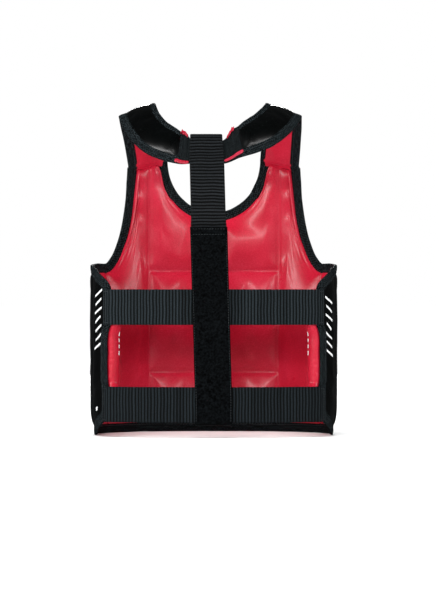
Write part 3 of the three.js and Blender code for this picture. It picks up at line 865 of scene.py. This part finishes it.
def add_collar_pad(side_name, side):
    t = np.linspace(-SEAM_LAP, PAD_END, 79)
    w = np.linspace(NECK_BORDER - 0.03, 1 - ARM_BORDER + 0.03, 17)
    t, w = np.meshgrid(t, w, indexing="ij")
    length = lengths(collar(t[:, 8], w[:, 8], 0, 1))
    cloth = pairs(length, w * COLLAR_WIDTH)
    edge_across = np.minimum(w - w[0, 0], w[0, -1] - w) * COLLAR_WIDTH
    edge_along = np.clip(np.minimum(cloth[..., 0] - 9, length[-1] - cloth[..., 0]), 0, None)
    rise = (1 - (1 - np.clip(edge_across / 20, 0, 1)) ** 2) * crown(edge_along, 15)
    pinned = (edge_across < PINNED) | (edge_along < PINNED)
    for kind, seam, top, lift, material, sign in (
        ("cover", 1.5, 4.2, 3.4, BLACK_LEATHER, 1),
        ("liner", -1.5, -5.2, 2.2, RED_LEATHER, -1),
    ):
        top = top + 3.2 * smooth((t - 0.45) / 0.15) * (sign > 0)
        depth = mix(seam, top, rise) + (2.2 if sign > 0 else -1.5) * np.clip(1 - t / 0.02, 0, 1)
        outside = collar(t, w, depth, side)
        out = sign * (collar(t, w, depth + 1, side) - outside)
        backing = collar(t, w, 0.2 * sign, side)
        pad(f"shoulder_{side_name}_{kind}", outside, backing, pinned, material, cloth, lift * rise, out)


# ---------- bindings ----------


SAMPLE = 1.4  # along a binding: a third of a stitch
STITCH_INSET = 3.2  # from a tape's lips to its row of stitches
PUCKER = 0.16  # how much the stitches pull the tape in


def fold_profile(width, low, high):
    """Section of a folded tape: (w, depth) pairs round a closed loop; w = 0 is the fold, w = width the lips."""
    middle, half = (low + high) / 2, (high - low) / 2
    row = width - STITCH_INSET
    face = [(width, -0.9), (width, 0.15), (width - 0.7, 0.42), (row + 1, 0.12), (row, -0.25), (row - 1.2, 0.2),
            (width * 0.55, 0.42), (width * 0.32, 0.3), (half * 0.95, -0.1)]
    fold = [(half * (1 - math.sin(a)), math.cos(a)) for a in np.radians([28, 52, 74, 90])]
    upper = [(w, middle + half + d) for w, d in face] + [(w, middle + half * c) for w, c in fold]
    lower = [(w, 2 * middle - d) for w, d in upper[-2::-1]]
    return np.array(upper + lower)


def binding(name, point, about, group, seed, width=BORDER, low=BORDER_DEPTH[0], high=BORDER_DEPTH[1]):
    """A folded, stitched tape, about so long. point(u, w, depth) maps along, across (w from the free edge, mm)
    and depth."""
    profile = fold_profile(width, low, high)
    count = int(about / SAMPLE)
    u = np.linspace(0, 1, count)
    random = np.random.default_rng(seed)
    knots = max(count // 9, 3)
    wave = np.interp(u, np.linspace(0, 1, knots), random.normal(0, 1, knots))[:, None]
    spine = point(u, np.full(count, width / 2), np.full(count, (low + high) / 2))
    length = lengths(spine)
    dimple = np.cos(2 * math.pi * length / STITCH_PITCH)[:, None]
    w, d = profile.T[:, None]
    row = width - STITCH_INSET
    near_stitch = np.exp(-(((w - row) / 1.6) ** 2))
    slack = 1.1 * wave * np.exp(-((w / width - 0.4) ** 2) * 8)
    d = d + np.sign(d - (low + high) / 2) * PUCKER * (dimple * near_stitch + slack)
    w = w + np.where(w < 2.5, 0.25 * wave, 0)
    rings = point(np.repeat(u[:, None], len(profile), 1), np.broadcast_to(w, d.shape), d)
    obj = tube(name, rings, BINDING, pairs(length, lengths(profile)))
    for depth, sign in ((high + 0.1, 1), (low - 0.1, -1)):
        line, above = (point(u, np.full(count, row), np.full(count, d)) for d in (depth, depth + sign))
        stitch_run(group, line, above - line)
    return obj


def torso_edge(path, side=1):
    """point(u, w, depth) for a binding along an edge of the pattern; path(u, w) gives s and z."""

    def point(u, w, depth):
        s, z = path(u, w)
        return on_torso(side * s, z, depth)

    return point


HALF_BORDER = (BORDER_DEPTH[1] - BORDER_DEPTH[0]) / 2
CORNER_LEG = 30  # where a side panel's hem starts to turn up into its rear edge
CORNER_ROUNDING = 6
EDGE_STEP = 1.2


def wing_edge(side):
    """point(u, w, depth) for a side panel's one tape: back along the hem, round the lower rear corner, up the
    rear edge, and forward along the armhole. Depth is from the tape's middle."""
    corner_s = rear_s(0.0)
    hem_s = np.linspace(SEAM_S, corner_s - CORNER_LEG, 90)
    hem = np.stack([hem_s, hem_z(hem_s)], -1)
    t = np.linspace(0, 1, 30)[1:, None]
    tip = np.array([corner_s, REAR_CORNER_RISE])
    corner = hem[-1] * (1 - t) ** 2 + tip * 2 * t * (1 - t) + (tip + [0, CORNER_LEG]) * t**2
    rear_z = np.linspace(REAR_CORNER_RISE + CORNER_LEG, WING_TOP_REAR, 110)[1:]
    rear = np.stack([rear_s(rear_z), rear_z], -1)
    a = np.linspace(math.pi / 2, 0, 110)[1:]
    arm_s = SEAM_S + (REAR_S + UPPER_PULL - SEAM_S) * np.sin(a)
    arm = np.stack([arm_s, WING_TOP_REAR + (WING_TOP - WING_TOP_REAR) * np.cos(a)], -1)
    outline = np.concatenate([hem, corner, rear, arm])
    path = Path(outline)
    at = np.linspace(0, path.length, int(path.length / EDGE_STEP))
    p = path.at(at)[0]
    reach = 15
    kernel = np.exp(-0.5 * (np.arange(-reach, reach + 1) * EDGE_STEP / CORNER_ROUNDING) ** 2)
    longer = np.concatenate([2 * p[:1] - p[reach:0:-1], p, 2 * p[-1:] - p[-2 : -reach - 2 : -1]])
    p = np.stack([np.convolve(longer[:, k], kernel / kernel.sum(), "valid") for k in (0, 1)], -1)
    tangent = unit(np.gradient(p, axis=0))
    inward = np.stack([-tangent[:, 1], tangent[:, 0]], -1)
    share = rear_share(p[:, 0])
    middle = mix(sum(BORDER_DEPTH) / 2, sum(REAR_BORDER_DEPTH) / 2, share)
    thickness = mix(1, (REAR_BORDER_DEPTH[1] - REAR_BORDER_DEPTH[0]) / (2 * HALF_BORDER), share)

    rows = np.column_stack([p, inward, middle, thickness])

    def point(u, w, depth):
        s, z, in_s, in_z, mid, thick = np.moveaxis(between(u, at / path.length, rows), -1, 0)
        return on_torso(side * (s + w * in_s), z + w * in_z, mid + depth * thick)

    return point


def hem_edge(u, w):
    return mix(-SEAM_S, SEAM_S, u), np.maximum(w, 0)


def neck_edge(u, w):
    s, z = neck_point(np.abs(2 * u - 1), w)
    return np.where(u < 0.5, -1, 1) * s, z


def collar_edge(start, inwards, side):
    """point(u, w, depth) for a binding along a shoulder pad's edge; inwards is 1 from the neck edge."""

    def point(u, w, depth):
        t = mix(-SEAM_LAP, PAD_END + 0.012, u)
        return collar(t, start + inwards * w / COLLAR_WIDTH, depth * np.where(t < 0, 1.25, 1), side)

    return point


COLLAR_TAPE = 2.2  # half a shoulder tape's thickness


def add_bindings():
    made = [
        binding("front_hem_tape", torso_edge(hem_edge), 370, "stitches_chest", 1),
        binding("neck_tape", torso_edge(neck_edge), 240, "stitches_chest", 2),
    ]
    for name, side in SIDES:
        armhole, wing = torso_edge(armhole_point, side), wing_edge(side)
        group = f"stitches_{name}_wing"
        made.append(binding(f"front_armhole_tape_{name}", armhole, 150, "stitches_chest", 3))
        made.append(binding(f"side_tape_{name}", wing, 430, group, 4, BORDER, -HALF_BORDER, HALF_BORDER))
        for part, start, share, inwards in (
            ("neck_side", 0.0, NECK_BORDER, 1), ("arm_side", 1.0, ARM_BORDER, -1),
        ):
            section = (share * COLLAR_WIDTH, -COLLAR_TAPE, COLLAR_TAPE)
            edge = collar_edge(start, inwards, side)
            made.append(binding(f"{part}_tape_{name}", edge, 270, "stitches_collar", 7, *section))
    return {tape.name: tape for tape in made}


# ---------- red edge rolls ----------


ROLL_Z = (REAR_CORNER_RISE + 14, WING_TOP_REAR - 10)


def roll_point(side, z, a, proud=0.0):
    """Points of an edge roll at heights z and angles a round it; a = 0 faces the spine."""
    pressed = np.maximum(smooth((z - 152) / 12), smooth((78 - z) / 10))
    inner = mix(0.6, 5.2, pressed)
    share = (z - ROLL_Z[0]) / (ROLL_Z[1] - ROLL_Z[0])
    taper = np.sqrt(np.clip(1 - (2 * share - 1) ** 24, 0, 1)) * 0.96 + 0.04
    half_depth = (17.8 - inner) / 2
    half_width = mix(8.3, 7.0, pressed)
    c, s = np.cos(a), np.sin(a)
    across = (half_width * taper + proud) * np.sign(c) * np.abs(c) ** 0.86
    up = (half_depth * taper + proud) * np.sign(s) * np.abs(s) ** 0.86
    random = np.random.default_rng(11)
    knots = np.linspace(*ROLL_Z, 30)
    wrinkle = np.interp(z, knots, random.normal(0, 0.26, len(knots))) * np.cos(2 * a)
    knots = np.linspace(*ROLL_Z, 61)
    fine = np.interp(z, knots, random.normal(0, 0.14, len(knots))) * np.cos(a - 0.6)
    depth = inner + half_depth + up + (wrinkle + fine) * (1 - 0.5 * pressed)
    return on_torso(side * (rear_s(z) - 0.6 + across), z, depth)


def add_edge_roll(name, side):
    z, a = np.meshgrid(np.linspace(*ROLL_Z, 180), np.linspace(0, 2 * math.pi, 41)[:-1], indexing="ij")
    return tube(f"edge_roll_{name}_pad", roll_point(side, z, a), RED_LEATHER, np.stack([z, a * 9], -1))


# ---------- elastic webbing ----------

BAND_THICKNESS = 2.4
BAND_RIB, STRAP_RIB = 4.6, 4.5  # pitch
RIB_STEPS = 8
RIB_DEPTH = 0.62
YARN_PITCH, YARN_HEIGHT = 2.3, 0.13


def flat_strap(name, l, point, outward, across, x, half, top, bottom, material, rib=None):
    """A strap from its middle line, whose two faces stand at top and bottom over places x across it."""
    offsets = np.concatenate([top, bottom[:, ::-1]], axis=1)
    width = half * np.concatenate([x, x[::-1]])
    rings = point[:, None] + outward[:, None] * offsets[..., None]
    rings = rings + np.asarray(across, float) * width[..., None]
    return tube(name, rings, material, pairs(l, width), rib)


def webbing(name, path, across, start, end, half_width, material, rib_pitch, seed):
    """A strap along a stretch of path: across is the width's direction, and the ribs run across the strap."""
    count = int((end - start) / rib_pitch * RIB_STEPS) + 1
    l = np.linspace(start, end, count)
    point, tangent = path.at(l)
    outward = unit(np.cross(tangent, across))
    half = half_width(point[:, 2]) if callable(half_width) else np.full(count, half_width)
    x = np.concatenate([[-1, -0.985, -0.955], np.linspace(-0.92, 0.92, 45), [0.955, 0.985, 1]])
    edge = np.concatenate([[0.25, 0.62, 0.9], np.ones(45), [0.9, 0.62, 0.25]])
    random = np.random.default_rng(seed)
    ribs = np.arange(int(path.length / rib_pitch) + 3)
    jitter = np.interp(l / rib_pitch, ribs, random.normal(0, 0.045, len(ribs)))
    drift = sum(
        random.normal(0, 0.04) * np.sin(l[:, None] / 17 + k) * np.sin(x * (1.5 + k) + 2 * k) for k in range(5)
    )
    phase = l[:, None] / rib_pitch + jitter[:, None] + drift
    rib = np.abs(np.sin(math.pi * phase)) ** 0.8
    strength = random.normal(1, 0.05, len(ribs))[np.clip(np.round(phase - 0.5).astype(int), 0, len(ribs) - 1)]
    yarn = np.cos(2 * math.pi * (half[:, None] * x / YARN_PITCH + 0.5 * np.floor(phase)))
    sunk = RIB_DEPTH * (1 - rib * np.clip(strength, 0.6, 1.15))
    height = BAND_THICKNESS / 2 - sunk + YARN_HEIGHT * yarn * rib
    top = height * edge
    # Painted shade and highlight for the colour: dark in each rib's groove and light on its crest, with random
    # tone per rib and a little yarn pattern.
    shade = np.clip(rib * strength * (0.86 + 0.14 * yarn), 0, 1)
    shade = np.concatenate([shade, shade[:, ::-1]], axis=1)
    return flat_strap(name, l, point, outward, across, x, half[:, None], top, -top, material, shade)


UPPER_BAND_Z, LOWER_BAND_Z = (158, 208), (21, 71)
UPPER_BAND_Y, LOWER_BAND_Y = 112, 111
BAND_OVERLAP = 12.5
BAND_THIRDS_Y = (99, 107.5)
STRAP_UNDER_BAND = 3.2
BAND_STITCH_ROWS = (3.0, 6.0)  # distances from a band's end
BAND_STITCH_PITCH = 3.4


def band_path(z_range, centre_y, hump):
    """The middle line of a band's thickness, from the wearer's left to the right."""
    z = sum(z_range) / 2
    depth = REAR_BORDER_DEPTH[1] + 0.9
    backs = np.array([BAND_OVERLAP, BAND_OVERLAP / 2, 0.5])
    ends = on_torso(rear_s(z) - backs, np.full(3, z), depth)
    half = np.vstack([ends, [100, BAND_THIRDS_Y[0] + ORIGIN_Y, z], [50, BAND_THIRDS_Y[1] + ORIGIN_Y, z]])
    full = np.vstack([half, [0, centre_y + ORIGIN_Y, z], (half * [-1, 1, 1])[::-1]])
    p = catmull_rom(full, 1200)
    tangent = unit(np.gradient(p, axis=0))
    p = p + np.stack([tangent[:, 1], -tangent[:, 0], 0 * p[:, 0]], -1) * BAND_THICKNESS / 2
    p[:, 1] += hump * smooth((40 - np.abs(p[:, 0])) / 12)
    return Path(p)


def add_bands():
    made = {}
    for name, z_range, centre, hump in (
        ("upper", UPPER_BAND_Z, UPPER_BAND_Y, 0), ("lower", LOWER_BAND_Z, LOWER_BAND_Y, STRAP_UNDER_BAND),
    ):
        path = band_path(z_range, centre, hump)
        middle = path.length / 2
        for side_name, side, start, end in (("left", 1, 0, middle), ("right", -1, middle, path.length)):
            made[f"{name}_band_{side_name}"] = webbing(
                f"{name}_band_{side_name}", path, (0, 0, 1), start, end, 25, BAND_ELASTICS[name], BAND_RIB, 21
            )
            low, high = z_range
            rows = [(np.full(24, back), np.linspace(low + 2, high - 2, 24)) for back in BAND_STITCH_ROWS]
            rows += [(np.linspace(3, 12, 8), z) for z in (low + 3, high - 3)]
            for from_end, z in rows:
                l = from_end if side > 0 else path.length - from_end
                line, out = path.outer_face(l, (0, 0, 1), BAND_THICKNESS / 2 + 0.05)
                line[:, 2] = z
                stitch_run(f"stitches_{side_name}_wing", line, out, BAND_STITCH_PITCH)
    return made


# Both as [y, z] on the spine's own plane.
STRAP_PATH = [
    [111, 384.4], [103.2, 401.6], [96.6, 415.8], [95.7, 422], [99.6, 424.9], [104.2, 422], [112.6, 403.4],
    [120.9, 382], [127, 345], [129.5, 300], [126, 250], [119.5, 212], [116.6, 184], [115.6, 158],
    [113.8, 120], [112, 85], [111.6, 50], [111.6, 28], [112.4, 21.2], [115.2, 18.8], [117.8, 21.2],
    [118.4, 25], [118.4, 28.6],
]
TAIL_PATH = [
    [120.8, 19.6], [120.8, 28], [120, 34], [118.8, 43], [118.5, 60], [119.2, 90], [120.8, 125],
    [122, 158], [123, 184], [126, 212], [132, 250], [134.8, 285], [135, 295],
]


def spine_path(points):
    """A path up or down the spine, which leans a little to the wearer's left."""
    p = catmull_rom([[0, y + ORIGIN_Y, z] for y, z in points], 1200)
    p[:, 0] = SPINE_LEAN * np.maximum(p[:, 2] - SPINE_LEAN_START, 0)
    return Path(p)


def strap_half_width(z):
    return 25 - 0.7 * smooth((z - 295) / 15) - 1.8 * smooth((z - 385) / 45)


def add_spine_strap():
    path = spine_path(STRAP_PATH)
    name, across = "spine_strap_elastic", (1, 0, 0)
    return webbing(name, path, across, 0, path.length, strap_half_width, STRAP_ELASTIC, STRAP_RIB, 22)


TAIL_THICKNESS, TAIL_HALF_WIDTH = 1.8, 26.0
SELVEDGE = 0.9  # share of the half width where the smooth field ends
TAIL_STITCH_PITCH, TAIL_STITCH_RADIUS = 3.6, 0.34


def add_tail():
    """The tail: a smooth, slightly fuzzy tape with a woven selvedge along both edges and a folded top end."""
    path = spine_path(TAIL_PATH)
    l = np.linspace(0, path.length, 270)
    point, outward = path.outer_face(l, (1, 0, 0), 0)
    field = np.linspace(-SELVEDGE, SELVEDGE, 40)
    x = np.concatenate([np.linspace(-1, -0.93, 6), field, np.linspace(0.93, 1, 6)])
    edge = np.clip(np.minimum(1 - np.abs(x), 0.02) / 0.02, 0, 1) ** 0.5 * 0.75 + 0.25
    groove = 0.16 * np.exp(-(((np.abs(x) - 0.915) / 0.012) ** 2))
    random = np.random.default_rng(5)
    fuzz = random.normal(0, 0.05, (len(l), len(x)))
    ripple = 0.22 * np.sin(l / 23.0)[:, None] * np.cos(x * 2.4) + 0.1 * np.sin(l / 7.3 + 1)[:, None] * x
    top = TAIL_THICKNESS / 2 * edge - groove + fuzz * (np.abs(x) < SELVEDGE) + ripple
    fold = smooth((l - (path.length - 12)) / 1.5)
    top = top + 0.55 * fold[:, None] * edge
    bottom = -TAIL_THICKNESS / 2 * edge + ripple
    half = np.full((len(l), 1), TAIL_HALF_WIDTH)
    obj = flat_strap("closure_tail_tape", l, point, outward, (1, 0, 0), x, half, top, bottom, TAIL_PILE)
    inner_l = l[(l > 3) & (l < path.length - 3)]
    rows = [(inner_l, edge_x, 0) for edge_x in (-24.2, 24.2)]
    rows += [(np.full(20, path.length - back), np.linspace(-23, 23, 20), 0.5) for back in (3.0, 10.5)]
    for places, offset, lift in rows:
        line, out = path.outer_face(places, (1, 0, 0), TAIL_THICKNESS / 2 + lift)
        line[:, 0] += offset
        stitch_run("stitches_tail", line, out, TAIL_STITCH_PITCH, TAIL_STITCH_RADIUS)
    return obj


# ---------- collar tab and piping ----------


TAB_REACH, TAB_HEIGHT = 43.0, 34.0  # half its width, and from the neck edge to the lower edge


def tab_point(x_share, w, depth):
    """x_share runs from -1 (wearer's right) to 1 (left) along the tab. Its neck edge is bunched up beside the
    strap, most on the right."""
    x = x_share * TAB_REACH
    ear = 0.2 * np.exp(-(((x + 27) / 9) ** 2)) + 0.08 * np.exp(-(((x - 33) / 6) ** 2))
    t = mix(1.0, PAD_END - 0.006, np.abs(x_share))
    return collar(t, w - ear * np.clip(1 - w, 0, 1.1) ** 2, depth, np.where(x_share < 0, -1, 1))


# Folds: two ends (x towards the wearer's left, distance below the neck edge), height and half width.
TAB_FOLDS = (
    ((38, 0), (38, 34), 1.3, 2.0), ((31.5, 4), (31.5, 34), 1.1, 1.8), ((42, 0), (44, 34), 0.9, 1.5),
    ((-20, 4), (-40, 26), 2.0, 2.2), ((-42, 4), (-24, 30), 1.5, 2.2), ((-31, -6), (-33, 20), 1.4, 2.0),
    ((-24, -5), (-22, 30), 1.0, 1.8), ((-40, 28), (-20, 33), 0.9, 1.6),
)


def add_tab():
    x, w = np.meshgrid(np.linspace(-1, 1, 171), np.linspace(0, 1, 69), indexing="ij")
    place = np.stack([x * TAB_REACH, w * TAB_HEIGHT], -1)
    folds = 0.0
    for a, b, height, width in TAB_FOLDS:
        along = np.array(b, float) - a
        share = np.clip(((place - a) @ along) / (along @ along), 0, 1)
        distance = np.linalg.norm(place - a - share[..., None] * along, axis=-1)
        folds = folds + height * np.exp(-((distance / width) ** 2))
    edge = np.clip(np.minimum(w, 1 - w) / 0.06, 0, 1)
    shown = smooth((np.abs(place[..., 0]) - 18) / 6)
    top = 0.35 + 0.9 * np.sqrt(edge) + folds * shown * np.clip(edge, 0.3, 1)
    cloth = np.stack([x * 60, w * 42], -1)
    return shell("collar_tab_fabric", tab_point(x, w, top), tab_point(x, w, -1.3 + 0 * top), TAB_FABRIC, cloth)


PIPING_RADIUS = 1.9


def add_piping(name, ends, w_ends, wave, seed):
    """A red cord along an edge of the tab; ends are distances from the middle, towards the wearer's left."""
    u = np.linspace(0, 1, 80)
    x_share = mix(ends[0], ends[1], u) / TAB_REACH
    random = np.random.default_rng(seed)
    knots = np.linspace(0, 1, 7)
    w = mix(w_ends[0], w_ends[1], u) + np.interp(u, knots, random.normal(0, wave, 7)) * 0.022
    lift = 2.3 + np.interp(u, knots, random.normal(0, wave, 7)) * 0.5
    rounded = np.sqrt(np.clip(1 - (2 * u - 1) ** 12, 0.02, 1))
    radius = PIPING_RADIUS * rounded * (1 + 0.08 * wave * np.sin(u * 21))
    a = np.linspace(0, 2 * math.pi, 17)[:-1]
    around = ((w + radius * math.cos(b) / TAB_HEIGHT, lift + radius * 0.85 * math.sin(b)) for b in a)
    rings = np.stack([tab_point(x_share, *place) for place in around], 1)
    return tube(name, rings, RED_PIPING, pairs(u * 18, a * PIPING_RADIUS))


# Each cord: distances of its ends from the middle, their places across the tab, and how wavy it is.
PIPING = {
    ("upper", "left"): ((44, 29), (0.02, 0.07), 1.0),
    ("upper", "right"): ((-20, -34), (0.08, 0.03), 1.0),
    ("lower", "left"): ((45, 26), (0.93, 0.99), 0.25),
    ("lower", "right"): ((-17, -43), (0.94, 0.85), 0.3),
}


# ---------- printed marks ----------


def slanted_bar(cx, cz, width, height, slant):
    """A slanted bar's corners on the pattern (s, z)."""
    x, z = width / 2, height / 2
    return np.array([[-x, -z - slant], [x, -z + slant], [x, z + slant], [-x, z - slant]]) + [cx, cz]


INK = 0.35  # how proud the ink stands
PATCH = 10  # points along a patch's side
ROLL_TICKS = ((148, 6), (138.5, 5), (130, 5), (121, 6))  # top and height of each


def cover_marks(side_name, side, bars):
    """Ink patches on a side panel's inflated cover."""
    tree = surfaces[f"side_{side_name}_cover"]
    parts = []
    for a, b, c, d in bars:
        u, v = np.meshgrid(np.linspace(0, 1, PATCH), np.linspace(0, 1, PATCH), indexing="ij")
        u, v = u[..., None], v[..., None]
        flat = a * (1 - u) * (1 - v) + b * u * (1 - v) + c * u * v + d * (1 - u) * v
        far = on_torso(side * flat[..., 0], flat[..., 1], 60)
        direction = unit(on_torso(side * flat[..., 0], flat[..., 1], 0) - far)
        ink = np.empty_like(far)
        for i in np.ndindex(PATCH, PATCH):
            hit = tree.ray_cast(Vector(far[i]), Vector(direction[i]))[0]
            ink[i] = far[i] if hit is None else np.array(hit)
        parts.append(closed_between(ink - direction * INK, ink + direction * 0.5))
    return parts


def roll_marks(side):
    """Small ticks along an edge roll, on its side that faces the spine."""
    parts = []
    for z, height in ROLL_TICKS:
        up, a = np.meshgrid(np.linspace(z, z - height, PATCH), np.linspace(-0.95, -0.5, PATCH), indexing="ij")
        parts.append(closed_between(roll_point(side, up, a, INK), roll_point(side, up, a, -0.4)))
    return parts


MARK_S, MARK_LEAN = 295, 0.04  # middle of the row of bars, and how it leans
MARK_TOP = {"left": 203, "right": 193}
MARK_MIDDLE_Z = 165
MARK_PITCH, MARK_COUNT = 12.5, 7
MARK_WIDTHS, MARK_HEIGHT, MARK_SLANT = (18, 14), 2.8, 4.5
DASH = (291, 39, 4, 5, 1)  # the short dash near the left panel's lower corner


def add_marks(side_name, side):
    tops = MARK_TOP[side_name] - MARK_PITCH * np.arange(MARK_COUNT)
    bars = [
        slanted_bar(MARK_S + MARK_LEAN * (z - MARK_MIDDLE_Z), z, MARK_WIDTHS[k % 2], MARK_HEIGHT, MARK_SLANT)
        for k, z in enumerate(tops)
    ]
    if side > 0:
        bars.append(slanted_bar(*DASH))
    points, faces = join_points(cover_marks(side_name, side, bars) + roll_marks(side))
    return face_outwards(new_mesh(f"marks_{side_name}", points, faces, WHITE_PRINT))


# ---------- the floor ----------


def add_floor():
    angle = np.linspace(0, 2 * math.pi, 65)[:-1]
    radius = np.array([0, 400, 1200, 3000, 8000, 30000, 90000])
    x, y = np.outer(radius, np.cos(angle)), np.outer(radius, np.sin(angle))
    grid = np.stack([x, y, np.zeros_like(x)], -1)
    faces = quads(len(radius), len(angle), wrap_rows=True)
    floor = new_mesh("floor", grid.reshape(-1, 3), faces, paper_floor("floor_paper"))
    floor.visible_glossy = False


# ---------- assembly ----------

add_camera()
add_studio()
add_floor()

add_front()
for side_name, side in SIDES:
    add_wing(side_name, side)
    add_collar_pad(side_name, side)
inflate_pads()
covers = build_pads()
tapes = add_bindings()


def take(obj, slot, *nodes):
    if nodes:
        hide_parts(*nodes)
    return obj


SIDE_BINDINGS = ("side_hem_binding", "rear_binding", "side_armhole_binding")
FOAM_PLACES = ("belly_lower", "belly_upper", "chest_lower", "chest_upper", "flank_left", "flank_right")
front_foams = [f"foam_{place}" for place in FOAM_PLACES]
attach(take(covers["front_panel_cover"], "black_leather", "front_cover", *front_foams), "chest")
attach(take(covers["front_panel_liner"], "red_leather", "front_liner"), "chest")
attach(take(tapes["front_hem_tape"], "binding_tape", "front_hem_binding"), "chest")
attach(take(tapes["neck_tape"], "binding_tape", "neck_binding"), "chest")

bands = add_bands()
strap = add_spine_strap()
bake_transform(take(strap, "ribbed_elastic", "spine_strap"))
tail = add_tail()
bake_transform(take(tail, "hook_tape", "closure_tail"))
tab = add_tab()
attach(take(tab, "binding_tape", "collar_tab"), "collar")

for side_name, side in SIDES:
    armhole_tape = tapes[f"front_armhole_tape_{side_name}"]
    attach(take(armhole_tape, "binding_tape", f"front_armhole_binding_{side_name}"), "chest")
    wing_foams = [f"foam_side_front_{side_name}", f"foam_side_rear_{side_name}"]
    for piece, slot, nodes in (
        (covers[f"side_{side_name}_cover"], "black_leather", [f"side_cover_{side_name}", *wing_foams]),
        (covers[f"side_{side_name}_liner"], "red_leather", [f"side_liner_{side_name}"]),
        (tapes[f"side_tape_{side_name}"], "binding_tape", [f"{n}_{side_name}" for n in SIDE_BINDINGS]),
    ):
        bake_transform(take(piece, slot, *nodes))
    wing = f"{side_name}_wing"
    roll = add_edge_roll(side_name, side)
    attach(take(roll, "red_leather", f"edge_roll_{side_name}"), wing)
    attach(add_marks(side_name, side), wing)
    for level in ("upper", "lower"):
        piece = bands[f"{level}_band_{side_name}"]
        if side > 0:
            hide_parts(f"{level}_band")
        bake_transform(piece)
    for kind, slot, nodes in (
        ("cover", "black_leather", [f"shoulder_cover_{side_name}", f"shoulder_foam_{side_name}"]),
        ("liner", "red_leather", [f"shoulder_liner_{side_name}"]),
    ):
        piece = covers[f"shoulder_{side_name}_{kind}"]
        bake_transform(take(piece, slot, *nodes))
    for part in ("neck_side", "arm_side"):
        piece = tapes[f"{part}_tape_{side_name}"]
        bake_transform(take(piece, "binding_tape", f"{part}_binding_{side_name}"))
    for level in ("upper", "lower"):
        shape = PIPING[level, side_name]
        piping = add_piping(f"tab_piping_{level}_{side_name}_cord", *shape, 3 if side > 0 else 8)
        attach(take(piping, "red_leather", f"tab_piping_{level}_{side_name}"), "collar")

for node, material in (("loop_tape", LOOP_PILE), ("hook_tape", HOOKS)):
    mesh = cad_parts[node].data
    mesh.materials.clear()
    mesh.materials.append(material)

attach(build_stitches("stitches_chest", BLACK_THREAD), "chest")
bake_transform(build_stitches("stitches_collar", BLACK_THREAD))
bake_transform(build_stitches("stitches_tail", BLACK_THREAD))
for side_name, side in SIDES:
    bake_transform(build_stitches(f"stitches_{side_name}_wing", BLACK_THREAD))
